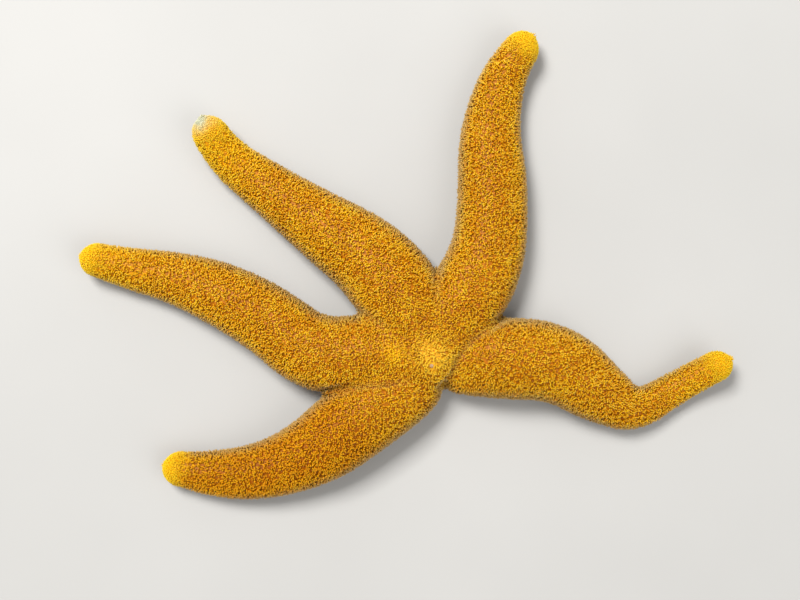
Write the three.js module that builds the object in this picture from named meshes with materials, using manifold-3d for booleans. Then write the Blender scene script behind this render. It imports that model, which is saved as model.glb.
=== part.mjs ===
// A blood starfish (genus Henricia), life size, lying on a flat floor with its mouth down and the tips of
// its arms curled up. Millimetres, +Z up, the floor at z = 0, the box's bottom centre at the origin.
//
// The body is one blended surface, parted by thin cuts into the disc and four lengths of each arm.
// Each arm is a closed section carried along a curved centre line. Its inner rows open out until they meet
// the neighbouring arms along the radial seams of the disc, where a blended field rounds the creases.

import * as THREE from "three";
import { mergeVertices } from "three/addons/utils/BufferGeometryUtils.js";
import Module from "manifold-3d";

const wasm = await Module();
wasm.setup();

// ---- driving dimensions ------------------------------------------------------------------------------

const DISC_CENTRE = { x: 4.206, y: -16.268 }; // where the disc stands, so that the box is centred on the origin
const DISC_RADIUS = 8.0;
const DISC_HEIGHT = 11.6;
const CREASE_ROUNDING = 2.2; // how far the blend reaches where two arms meet

// Angles are in degrees, anticlockwise from +X seen from above. Each heading and half width belongs to the
// share of the arm's length at the same place in its list of stops.
const EVEN_STOPS = [0, 0.2, 0.4, 0.6, 0.8, 1];
const ARMS = [
  {
    name: "arm_1",
    length: 65.5,
    headings: [54, 55, 85, 94, 74, 44],
    halfWidths: [7.4, 7.6, 6.9, 6.3, 4.8, 3.4],
    tipLift: 3.2,
    rootDip: 0.1,
  },
  {
    name: "arm_2",
    length: 62.7,
    headings: [112, 123, 146, 145, 144, 112],
    halfWidths: [8.0, 8.4, 7.4, 5.8, 4.4, 3.4],
    tipLift: 5.4,
    rootDip: 0.08,
  },
  {
    name: "arm_3",
    length: 70.5,
    stops: [0, 0.22, 0.38, 0.6, 0.8, 1],
    headings: [184, 183, 141, 156, 169, 163],
    halfWidths: [7.8, 7.5, 6.9, 6.1, 4.5, 3.2],
    tipLift: 3.0,
    rootDip: 0.06,
  },
  {
    name: "arm_4",
    length: 59.2,
    stops: [0, 0.15, 0.4, 0.6, 0.8, 1],
    headings: [245, 218, 218, 200, 179, 164],
    halfWidths: [6.4, 7.6, 7.3, 5.9, 4.6, 3.2],
    tipLift: 1.8,
    rootDip: 0.28,
  },
  {
    name: "arm_5",
    length: 62.4,
    stops: [0, 0.3, 0.48, 0.62, 0.74, 1],
    headings: [-8, -2, -37, -28, 31, 31],
    halfWidths: [7.4, 7.7, 6.8, 5.1, 3.5, 3.0],
    tipLift: 4.2,
    rootDip: 0.48,
  },
];
const ROOT_DIP_REACH = 13; // how far out the ridge of an arm dips towards the disc

// The corner where each arm meets the next one, arm 1 with arm 2 first, and the place towards which the
// seam sets out to it. Both are seen from above, from the disc's centre.
const CORNERS = [
  { at: [1.9, 16.4], towards: [0.9, 8.2] },
  { at: [-14.2, 8.0], towards: [-6.8, 4.2] },
  { at: [-19.0, -7.9], towards: [-6.6, -6.0] },
  { at: [3.3, -7.4], towards: [1.6, -3.7] },
  { at: [15.0, 7.4], towards: [7.5, 3.4] },
];

const TOP_SHARE = 1.0; // a section's height above its widest level, over its half width
const BELLY_SHARE = 0.62; // and its depth below that level
const TOP_ROUNDNESS = 2.1; // exponents of the section's upper and lower halves
const BELLY_ROUNDNESS = 2.6;
const FLOOR_SINK = 0.35; // how much of the belly the floor flattens
const LIFT_STARTS = 0.72; // share of the arm's length where its tip starts to rise
const LIFT_POWER = 2.2;

// The furrow of the tube feet along each arm's underside, as shares of the arm's half width.
const FURROW_EDGE = 0.2;
const FURROW_FLOOR = 0.1;
const FURROW_DEPTH = 0.3;
const MOUTH_RADIUS = 2.6;
const MOUTH_DEPTH = 3.4;

// The cuts, as shares of the rows from an arm's seams to its tip, and the gap they leave.
const CUTS = [0.16, 0.4, 0.66, 0.9];
const CUT_GAP = 0.3;
const DISC_GAP = 0.6; // the gap at the ridge round the disc, which narrows towards the flanks
const LENGTH_NAMES = ["base", "middle", "outer", "tip"];
const SEAM_SHARE = 0.55; // the inner rows are swept forward at their flanks out to this share
const SEAM_POWER = 1.5;
const OPENED_SHARE = 0.2; // the rows become the arm's own sections at this share
const BLEND_RADIUS = 27; // the blended field shapes the body inside this radius

const MADREPORITE = { x: 1.15, y: -3.15, radius: 1.0, crown: 0.35, rim: 0.5, socket: 0.75 };
const EYESPOT_RADIUS = 0.42;
const JAW = { inner: 0.6, outer: 1.9, halfWidth: 0.42, bottom: 0.3, height: 0.9 };
const SOCKET_GAP = 0.2; // round the madreporite and the eyespots

const BACK_COLUMNS = 15; // points of a section from flank to flank over the back
const FLANK_ANGLE = 104; // where they start and end, in degrees from the ridge
const FLAT_SHARE = 0.46; // where the column in the middle of the flat runs, over the half width
const ROW_STEP = 2.4; // spacing of the sections along an arm
const SEAM_ROWS = 6; // the sections of each arm in the disc
const TIP_ROWS = 6; // and the sections that round its tip off

const COLOURS = {
  orange: { color: 0xd98512, roughness: 0.62, metalness: 0 },
  yellow: { color: 0xf2b51c, roughness: 0.6, metalness: 0 },
  pale: { color: 0xe3bd8a, roughness: 0.7, metalness: 0 },
  red: { color: 0xa3200f, roughness: 0.35, metalness: 0 },
};

// ---- small helpers -----------------------------------------------------------------------------------

const { clamp, lerp, degToRad, smoothstep } = THREE.MathUtils;
const waist = BELLY_SHARE * ARMS[0].halfWidths[0] - FLOOR_SINK; // the widest level of the disc
const power = (over) => (over ? TOP_ROUNDNESS : BELLY_ROUNDNESS);

// Which two stops t lies between, and how far along.
function bracket(stops, t) {
  let i = 0;
  while (i < stops.length - 2 && t > stops[i + 1]) i += 1;
  return { i, f: (t - stops[i]) / (stops[i + 1] - stops[i]) };
}

// Straight lines between values at rising stops.
function straight(stops, values, t) {
  const { i, f } = bracket(stops, t);
  return lerp(values[i], values[i + 1], f);
}

// A smooth curve through values at rising stops: a cubic between neighbours, whose slope at each inner stop
// is that of the chord between the stops either side, and level at both ends.
function smooth(stops, values, t) {
  const { i, f } = bracket(stops, t);
  const last = stops.length - 1;
  const slope = (k) =>
    k === 0 || k === last ? 0 : (values[k + 1] - values[k - 1]) / (stops[k + 1] - stops[k - 1]);
  const span = stops[i + 1] - stops[i];
  const near = values[i] * (1 + 2 * f) + slope(i) * span * f;
  const far = values[i + 1] * (3 - 2 * f) - slope(i + 1) * span * (1 - f);
  return near * (1 - f) ** 2 + far * f ** 2;
}

// ---- the arms ----------------------------------------------------------------------------------------

// How far a place in a section is outside it, about, with the way this grows aside and upward.
function sectionField(aside, above, { halfWidth, top, belly }) {
  const over = above > 0;
  const p = power(over);
  const tall = over ? top : belly;
  const across = Math.max(aside, 1e-6) / halfWidth;
  const rise = Math.abs(above) / tall;
  const norm = Math.max((across ** p + rise ** p) ** (1 / p), 1e-6);
  return {
    outside: (norm - 1) * halfWidth,
    aside: (across / norm) ** (p - 1),
    above: (Math.sign(above) * (rise / norm) ** (p - 1) * halfWidth) / tall,
  };
}

// An arm's centre line and the size of its section at each place along it. Distances run along the centre
// line seen from above, from the disc's centre. Between stops the heading turns evenly, so that the line is
// a chain of arcs.
class Arm {
  static STEPS = 400;

  constructor(spec) {
    Object.assign(this, { stops: EVEN_STOPS, ...spec });
    this.step = this.length / Arm.STEPS;
    this.line = [new THREE.Vector2(0, 0)];
    for (let i = 0; i < Arm.STEPS; i += 1) {
      const heading = degToRad(straight(this.stops, this.headings, (i + 0.5) / Arm.STEPS));
      const { x, y } = this.line[i];
      this.line.push(
        new THREE.Vector2(x + this.step * Math.cos(heading), y + this.step * Math.sin(heading)),
      );
    }
  }

  // The section at distance s: its centre, its directions and its sizes.
  at(s) {
    const share = clamp(s / this.length, 0, 1);
    const i = Math.min(Math.floor(share * Arm.STEPS), Arm.STEPS - 1);
    const plan = this.line[i].clone().lerp(this.line[i + 1], share * Arm.STEPS - i);
    const heading = degToRad(straight(this.stops, this.headings, share));
    const half = smooth(this.stops, this.halfWidths, share);
    const tip = this.halfWidths.at(-1);
    const closing = Math.sqrt(1 - clamp((s - this.length + tip) / tip, 0, 1) ** 2);
    const rising = Math.max((share - LIFT_STARTS) / (1 - LIFT_STARTS), 0);
    const lift = this.tipLift * rising ** LIFT_POWER;
    const slope =
      (this.tipLift * LIFT_POWER * rising ** (LIFT_POWER - 1)) / (this.length * (1 - LIFT_STARTS));
    const dip = 1 - this.rootDip * (1 - smoothstep(s, 0, ROOT_DIP_REACH));
    return {
      centre: new THREE.Vector3(plan.x, plan.y, BELLY_SHARE * half - FLOOR_SINK + lift),
      side: new THREE.Vector3(-Math.sin(heading), Math.cos(heading), 0),
      up: new THREE.Vector3(-slope * Math.cos(heading), -slope * Math.sin(heading), 1).normalize(),
      halfWidth: half * closing,
      top: TOP_SHARE * half * dip * closing,
      belly: BELLY_SHARE * half * closing,
    };
  }

  // A point of the arm's own surface, from how far across (-1 to 1) and whether over the back.
  surface(s, across, over) {
    const section = this.at(s);
    const rise = (1 - Math.abs(across) ** power(over)) ** (1 / power(over));
    return section.centre
      .addScaledVector(section.side, across * section.halfWidth)
      .addScaledVector(section.up, rise * (over ? section.top : -section.belly));
  }

  // The distance along the inner part of the centre line at which it passes nearest to a place.
  foot(plan) {
    const inReach = this.line.slice(0, Math.ceil((1.4 * BLEND_RADIUS) / this.step));
    const away = inReach.map((place) => place.distanceToSquared(plan));
    const i = Math.max(away.indexOf(Math.min(...away)), 1);
    const along = this.line[i + 1].clone().sub(this.line[i - 1]).normalize();
    return Math.max(i * this.step + plan.clone().sub(this.line[i]).dot(along), 0);
  }

  // How far a point is outside the arm's surface, about, and the way that this grows.
  field(point) {
    const plan = new THREE.Vector2(point.x, point.y);
    const section = this.at(this.foot(plan));
    const out = plan.sub(new THREE.Vector2(section.centre.x, section.centre.y));
    const grows = sectionField(out.length(), point.z - section.centre.z, section);
    out.normalize().multiplyScalar(grows.aside);
    return { outside: grows.outside, way: new THREE.Vector3(out.x, out.y, grows.above) };
  }
}

const arms = ARMS.map((spec) => new Arm(spec));

// The lesser of two fields, rounded where they are less than a crease apart.
function blend(a, b) {
  const [near, far] = a.outside < b.outside ? [a, b] : [b, a];
  const overlap = Math.max(1 - (far.outside - near.outside) / CREASE_ROUNDING, 0);
  return {
    outside: near.outside - (overlap * overlap * CREASE_ROUNDING) / 4,
    way: near.way.clone().lerp(far.way, overlap / 2),
  };
}

// How far a point is outside the whole body near the disc, about, and the way that this grows.
function bodyField(point) {
  const size = { halfWidth: DISC_RADIUS, top: DISC_HEIGHT - waist, belly: waist + FLOOR_SINK };
  const reach = Math.max(Math.hypot(point.x, point.y), 1e-6);
  const disc = sectionField(reach, point.z - waist, size);
  const out = disc.aside / reach;
  const way = new THREE.Vector3(out * point.x, out * point.y, disc.above);
  return arms.map((arm) => arm.field(point)).reduce(blend, { outside: disc.outside, way });
}

// Moves a point along the body's field until it lies on the body's surface.
function settle(point) {
  for (let turn = 0; turn < 8; turn += 1) {
    const { outside, way } = bodyField(point);
    point.addScaledVector(way, (-0.9 * outside) / Math.max(way.lengthSq(), 0.2));
  }
  return point;
}

// ---- the surface -------------------------------------------------------------------------------------

// The columns of a section, in order round it from one flank over the back and then under the belly. Each
// is how far across it runs, from -1 to 1, and whether it is on the back. The belly's columns follow the
// flat, and the edges and the floor of the furrow.
const back = Array.from({ length: BACK_COLUMNS }, (_, k) => {
  const angle = degToRad(lerp(-FLANK_ANGLE, FLANK_ANGLE, k / (BACK_COLUMNS - 1)));
  const over = Math.cos(angle) > 1e-9;
  return { across: Math.sign(angle) * Math.abs(Math.sin(angle)) ** (2 / power(over)), over };
});
const belly = [FLAT_SHARE, FURROW_EDGE, FURROW_FLOOR, 0, -FURROW_FLOOR, -FURROW_EDGE, -FLAT_SHARE];
const COLUMNS = [...back, ...belly.map((across) => ({ across, over: false }))];

const corners = CORNERS.map(({ at, towards }) => {
  const place = new THREE.Vector2(...at);
  const seam = new THREE.QuadraticBezierCurve(new THREE.Vector2(), new THREE.Vector2(...towards), place);
  return { place, seam, reach: place.length() };
});

// A point of the radial seam at a corner, from how far across (0 at the middle of the disc, 1 at the
// corner) and whether over the back. The mouth takes the place of the furrow.
function seamPoint({ seam, reach }, across, over) {
  const rise = (1 - across ** power(over)) ** (1 / power(over));
  const mouthward = Math.min(across / FURROW_EDGE, 1) * MOUTH_RADIUS;
  const outward = (Math.max(across - FURROW_EDGE, 0) / (1 - FURROW_EDGE)) * (reach - MOUTH_RADIUS);
  const plan = seam.getPoint(over ? across : (mouthward + outward) / reach);
  const height = waist + rise * (over ? DISC_HEIGHT - waist : -waist - FLOOR_SINK);
  return new THREE.Vector3(plan.x, plan.y, height);
}

// One section of the surface of arm number k, at a share of the way from its seams (0) to its tip (1). Its
// flanks start at the corners and its ridge at the middle of the disc.
function ring(k, share) {
  const arm = arms[k];
  const swept = Math.max(1 - share / SEAM_SHARE, 0) ** SEAM_POWER;
  const opened = 1 - Math.max(1 - share / OPENED_SHARE, 0) ** 2;
  const sides = [(k + corners.length - 1) % corners.length, k].map((side) => corners[side]);
  const feet = sides.map((corner) => arm.foot(corner.place));
  return COLUMNS.map(({ across, over }) => {
    const side = across > 0 ? 1 : 0;
    const wide = Math.abs(across);
    const s = share * arm.length + swept * feet[side] * wide ** (1 + opened);
    const point = seamPoint(sides[side], wide, over).lerp(arm.surface(s, across, over), opened);
    if (Math.hypot(point.x, point.y) < BLEND_RADIUS) settle(point);
    if (over) return point;
    const section = arm.at(s);
    const furrow = 1 - smoothstep(wide, FURROW_FLOOR, FURROW_EDGE);
    const depth = lerp(MOUTH_DEPTH, FURROW_DEPTH * section.halfWidth, smoothstep(share, 0, 0.1));
    point.z = Math.max(point.z, 0) + furrow * depth;
    return point;
  });
}

// The shares of the rows between two cuts, evenly spaced, but closer near the seams and round a tip.
function rowShares(arm, from, to) {
  const rounding = to === 1 ? arm.halfWidths.at(-1) / arm.length : 0;
  const rows = from ? Math.max(Math.round(((to - rounding - from) * arm.length) / ROW_STEP), 2) : SEAM_ROWS;
  const spread = from ? 1 : SEAM_POWER;
  const even = Array.from({ length: rows + 1 }, (_, i) =>
    lerp(from, to - rounding, (i / rows) ** spread),
  );
  const turn = (i) => Math.sin((i / TIP_ROWS) * (Math.PI / 2));
  const round = Array.from({ length: TIP_ROWS - 1 }, (_, i) => to - rounding + rounding * turn(i + 1));
  return rounding ? [...even, ...round] : even;
}

// ---- making solids -----------------------------------------------------------------------------------

// Collects rows of points into one surface that faces outward.
class Shell {
  constructor() {
    this.corners = [];
  }

  triangle(a, b, c) {
    this.corners.push(...a.toArray(), ...b.toArray(), ...c.toArray());
  }

  skin(rings) {
    for (let i = 0; i < rings.length - 1; i += 1) {
      rings[i].forEach((a, j) => {
        const b = rings[i][(j + 1) % COLUMNS.length];
        const c = rings[i + 1][(j + 1) % COLUMNS.length];
        const d = rings[i + 1][j];
        this.triangle(a, c, b);
        this.triangle(a, d, c);
      });
    }
    return this;
  }

  // Closes a ring with a fan about its middle, facing along the arm or back towards the disc.
  cap(points, forward, middle = null) {
    const hub = middle ?? points.reduce((sum, p) => sum.add(p), new THREE.Vector3());
    if (!middle) hub.divideScalar(points.length);
    points.forEach((a, j) => {
      const b = points[(j + 1) % points.length];
      if (forward) this.triangle(b, a, hub);
      else this.triangle(a, b, hub);
    });
    return this;
  }

  geometry() {
    const geometry = new THREE.BufferGeometry();
    geometry.setAttribute("position", new THREE.Float32BufferAttribute(this.corners, 3));
    return withoutSlivers(mergeVertices(geometry, 2e-3));
  }
}

// Drops the triangles that merging has closed up.
function withoutSlivers(geometry) {
  const index = geometry.getIndex().array;
  const kept = [];
  for (let i = 0; i < index.length; i += 3) {
    const [a, b, c] = index.subarray(i, i + 3);
    if (a !== b && b !== c && c !== a) kept.push(a, b, c);
  }
  geometry.setIndex(kept);
  return geometry;
}

const toSolid = (geometry) => {
  const mesh = new wasm.Mesh({
    numProp: 3,
    vertProperties: Float32Array.from(geometry.getAttribute("position").array),
    triVerts: Uint32Array.from(geometry.getIndex().array),
  });
  mesh.merge();
  return new wasm.Manifold(mesh);
};

const fromSolid = (solid) => {
  const { numProp, vertProperties, triVerts } = solid.getMesh();
  const positions = [];
  for (let i = 0; i < vertProperties.length; i += numProp) {
    positions.push(...vertProperties.subarray(i, i + 3));
  }
  const geometry = new THREE.BufferGeometry();
  geometry.setAttribute("position", new THREE.Float32BufferAttribute(positions, 3));
  geometry.setIndex([...triVerts]);
  return geometry;
};

// ---- the nodes ---------------------------------------------------------------------------------------

const group = new THREE.Group();
group.name = "starfish";
const stand = new THREE.Matrix4().makeTranslation(DISC_CENTRE.x, DISC_CENTRE.y, 0);

function add(name, geometry, colour) {
  const mesh = new THREE.Mesh(
    geometry.clone().applyMatrix4(stand),
    new THREE.MeshStandardMaterial(COLOURS[colour]),
  );
  mesh.name = name;
  group.add(mesh);
}

// Takes a solid out of a shell's geometry.
function carve(geometry, tool) {
  return fromSolid(toSolid(geometry).subtract(tool));
}

// The disc: the inner rows of the five arms, joined along their seams.
const disc = new Shell();
arms.forEach((arm, k) => {
  const to = CUTS[0] - DISC_GAP / 2 / arm.length;
  const rings = rowShares(arm, 0, to).map((share) => ring(k, share));
  disc.skin(rings).cap(rings.at(-1), true);
});

// The madreporite: a low dome in a socket, standing square to the back.
const seat = settle(new THREE.Vector3(MADREPORITE.x, MADREPORITE.y, DISC_HEIGHT));
const upright = new THREE.Quaternion().setFromUnitVectors(
  new THREE.Vector3(0, 1, 0),
  bodyField(seat).way.normalize(),
);
const profile = [
  [0, -MADREPORITE.rim],
  [0.92 * MADREPORITE.radius, -MADREPORITE.rim],
  [MADREPORITE.radius, -0.6 * MADREPORITE.rim],
  [MADREPORITE.radius, 0],
  [0.8 * MADREPORITE.radius, 0.6 * MADREPORITE.crown],
  [0.45 * MADREPORITE.radius, 0.92 * MADREPORITE.crown],
  [0, MADREPORITE.crown],
].map(([x, y]) => new THREE.Vector2(x, y));
const seated = new THREE.Matrix4().compose(seat, upright, new THREE.Vector3(1, 1, 1));
const lathe = new THREE.LatheGeometry(profile, 20).deleteAttribute("uv").deleteAttribute("normal");
const madreporite = withoutSlivers(mergeVertices(lathe, 1e-3)).applyMatrix4(seated);
const socketRadius = MADREPORITE.radius + SOCKET_GAP;
const socket = new THREE.CylinderGeometry(socketRadius, socketRadius, 2 * MADREPORITE.socket, 20);
socket.deleteAttribute("uv").deleteAttribute("normal");
const socketTool = toSolid(mergeVertices(socket, 1e-3).applyMatrix4(seated));

add("disc", carve(disc.geometry(), socketTool), "orange");
add("madreporite", madreporite, "pale");

// The arms, each in four lengths with a red eyespot under its tip.
arms.forEach((arm, k) => {
  LENGTH_NAMES.forEach((length, i) => {
    const last = i === CUTS.length - 1;
    const from = CUTS[i] + (i ? CUT_GAP : DISC_GAP) / 2 / arm.length;
    const shares = rowShares(arm, from, last ? 1 : CUTS[i + 1] - CUT_GAP / 2 / arm.length);
    const rings = shares.map((share) => ring(k, share));
    const shell = new Shell().skin(rings).cap(rings[0], false);
    shell.cap(rings.at(-1), true, last ? arm.at(arm.length).centre : null);
    let geometry = shell.geometry();
    if (last) {
      const place = arm.surface(arm.length - 0.5 * arm.halfWidths.at(-1), 0, false);
      place.z += 0.3;
      const ball = (radius) =>
        mergeVertices(
          new THREE.IcosahedronGeometry(radius, 1).deleteAttribute("uv").deleteAttribute("normal"),
          1e-3,
        ).translate(place.x, place.y, place.z);
      geometry = carve(geometry, toSolid(ball(EYESPOT_RADIUS + SOCKET_GAP)));
      add(`${arm.name}_eyespot`, ball(EYESPOT_RADIUS), "red");
    }
    add(`${arm.name}_${length}`, geometry, last ? "yellow" : "orange");
  });
});

// The jaws: five wedges round the mouth, one between each two arms.
corners.forEach(({ place }, k) => {
  const { inner, outer, halfWidth, bottom, height } = JAW;
  const outline = new THREE.Shape([
    new THREE.Vector2(inner, 0),
    new THREE.Vector2(outer, -halfWidth),
    new THREE.Vector2(outer, halfWidth),
  ]);
  const wedge = new THREE.ExtrudeGeometry(outline, { depth: height, bevelEnabled: false });
  wedge.deleteAttribute("uv").deleteAttribute("normal");
  const turned = mergeVertices(wedge, 1e-3).rotateZ(place.angle()).translate(0, 0, bottom);
  add(`jaw_${k + 1}`, turned, "pale");
});

export default group;
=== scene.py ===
"""Looks of a life-size blood starfish (genus Henricia) that lies mouth down on a pale floor.

One skin replaces the solids of the body and lies inside them by the depth of the spine coat. The coat, the
papulae in its pits, the tube feet, the mouth and the small plates are made on it as joined meshes. The body's
shape is worked out in millimetres from the disc's centre and put into the shared frame in metres.
"""

import logging
from collections.abc import Iterator, Sequence
from dataclasses import dataclass, field
from enum import Enum

import bpy
import numpy as np
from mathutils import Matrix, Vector


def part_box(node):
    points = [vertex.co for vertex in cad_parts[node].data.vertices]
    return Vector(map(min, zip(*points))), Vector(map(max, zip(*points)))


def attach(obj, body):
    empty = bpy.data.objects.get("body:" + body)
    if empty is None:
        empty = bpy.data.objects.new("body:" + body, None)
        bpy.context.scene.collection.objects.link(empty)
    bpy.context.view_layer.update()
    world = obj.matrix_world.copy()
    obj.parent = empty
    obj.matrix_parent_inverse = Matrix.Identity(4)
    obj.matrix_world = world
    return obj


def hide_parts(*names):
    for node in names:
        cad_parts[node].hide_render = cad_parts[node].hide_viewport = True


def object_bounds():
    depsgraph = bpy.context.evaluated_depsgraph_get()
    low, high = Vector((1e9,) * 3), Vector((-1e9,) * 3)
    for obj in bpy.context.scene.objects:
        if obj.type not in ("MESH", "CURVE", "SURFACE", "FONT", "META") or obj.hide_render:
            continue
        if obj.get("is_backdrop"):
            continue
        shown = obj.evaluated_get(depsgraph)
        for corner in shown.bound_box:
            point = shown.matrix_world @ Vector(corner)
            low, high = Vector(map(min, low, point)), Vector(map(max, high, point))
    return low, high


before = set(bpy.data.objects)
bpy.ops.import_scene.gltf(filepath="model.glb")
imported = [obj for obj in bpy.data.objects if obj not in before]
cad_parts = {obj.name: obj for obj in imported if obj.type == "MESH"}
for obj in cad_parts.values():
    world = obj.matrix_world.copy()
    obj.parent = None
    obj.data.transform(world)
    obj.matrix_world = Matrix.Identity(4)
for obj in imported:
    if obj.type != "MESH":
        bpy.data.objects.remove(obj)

LOG = logging.getLogger("starfish")
CAD_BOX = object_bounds()
MM = 0.001
SEED = 20
ARM_COUNT = 5
UP = np.array([0.0, 0.0, 1.0])
Array = np.ndarray
Socket = bpy.types.NodeSocket
Stops = tuple[tuple[float, str], ...]  # places on a colour ramp, from 0 to 1, each with its screen colour

DISC_CENTRE = (4.206, -16.268)  # where the disc stands in the shared frame, in millimetres


# ---- small helpers ----


def ease(x: Array) -> Array:
    """Return the smooth step 3x^2 - 2x^3 of x held between 0 and 1."""
    held = np.clip(x, 0.0, 1.0)
    return held * held * (3.0 - 2.0 * held)


def mix(a: Array, b: Array, share: Array) -> Array:
    """Return the value a given share of the way from a to b."""
    return a + (b - a) * share


def unit(vectors: Array) -> Array:
    """Return the vectors scaled to length one."""
    return vectors / np.maximum(np.linalg.norm(vectors, axis=-1, keepdims=True), 1e-9)


def bell(away: Array, width: float) -> Array:
    """Return e to the power of minus the square of a distance over a width."""
    return np.exp(-((away / width) ** 2))


def frames(ways: Array) -> tuple[Array, Array]:
    """Return two unit vectors across each way and across each other.

    The first is the cross product of the way and +Z, or +X where the way is nearly upright.

    Args:
        ways: Unit vectors, one in each row.

    Returns:
        The first and the second unit vectors.
    """
    helper = np.where(np.abs(ways[:, 2:3]) < 0.9, [UP], [[1.0, 0.0, 0.0]])
    first = unit(np.cross(ways, helper))
    return first, np.cross(ways, first)


def smooth_curve(stops: Sequence[float], values: Sequence[float], t: Array) -> Array:
    """Return a smooth curve through values at rising stops.

    Between neighbours it is a cubic whose slope at each inner stop is that of the chord between the stops
    either side. It is level at both ends.

    Args:
        stops: Where the values are, rising.
        values: The value at each stop.
        t: Where to read the curve.

    Returns:
        The curve's values at t.
    """
    at, level = np.asarray(stops, float), np.asarray(values, float)
    slopes = np.zeros_like(level)
    slopes[1:-1] = (level[2:] - level[:-2]) / (at[2:] - at[:-2])
    i = np.clip(np.searchsorted(at, t, side="left") - 1, 0, len(at) - 2)
    span = at[i + 1] - at[i]
    f = (t - at[i]) / span
    near = level[i] * (1 + 2 * f) + slopes[i] * span * f
    far = level[i + 1] * (3 - 2 * f) - slopes[i + 1] * span * (1 - f)
    return near * (1 - f) ** 2 + far * f**2


def linear(code: str) -> tuple[float, float, float, float]:
    """Return a screen colour as linear light.

    Args:
        code: Red, green and blue as pairs of hexadecimal digits, such as "d98512".

    Returns:
        Linear red, green and blue, and an alpha of one.
    """
    screen = np.array([int(code[i : i + 2], 16) for i in (0, 2, 4)]) / 255.0
    light = np.where(screen <= 0.04045, screen / 12.92, ((screen + 0.055) / 1.055) ** 2.4)
    return (*(float(x) for x in light), 1.0)


# ---- the body's shape ----

TOP_SHARE = 1.0  # a section's height above its widest level, over its half width
BELLY_SHARE = 0.62  # and its depth below that level
TOP_ROUNDNESS = 2.1  # exponents of the section's upper and lower halves
BELLY_ROUNDNESS = 2.6
FLOOR_SINK = 0.35  # how far the belly would reach below the floor before it is flattened
LIFT_STARTS = 0.72  # the share of an arm's length from which its end lifts off the floor
LIFT_POWER = 2.2
ROOT_DIP_REACH = 13.0
EVEN_STOPS = (0.0, 0.2, 0.4, 0.6, 0.8, 1.0)
GOLDEN_ANGLE = 2.39996  # the turn from one spine of a tuft to the next, in radians
BLEND_RADIUS = 27.0  # how far from the disc's centre the arms are blended with each other
FOOT_REACH = 1.4 * BLEND_RADIUS  # how much of a centre line can pass nearest to a place in there


@dataclass(frozen=True)
class Section:
    """The sections of an arm at many places: their centres, directions and sizes as arrays."""

    centre: Array
    side: Array
    up: Array
    half_width: Array
    top: Array
    belly: Array


def section_field(aside: Array, above: Array, sizes: Sequence[Array]) -> tuple[Array, Array, Array]:
    """Measure how far places are outside sections.

    A section is two half superellipses that share their widest level. The measure is its norm less one, times
    the half width.

    Args:
        aside: Distance from the section's upright axis.
        above: Height over its widest level.
        sizes: Half its width, its height above that level, and its depth below it.

    Returns:
        The measure, and how fast it grows aside and upward.
    """
    half_width, top, belly = sizes
    power = np.where(above > 0, TOP_ROUNDNESS, BELLY_ROUNDNESS)
    tall = np.where(above > 0, top, belly)
    across = np.maximum(aside, 1e-6) / half_width
    rise = np.abs(above) / tall
    norm = np.maximum((across**power + rise**power) ** (1 / power), 1e-6)
    grows_aside = (across / norm) ** (power - 1)
    grows_up = np.sign(above) * (rise / norm) ** (power - 1) * half_width / tall
    return (norm - 1) * half_width, grows_aside, grows_up


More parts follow.
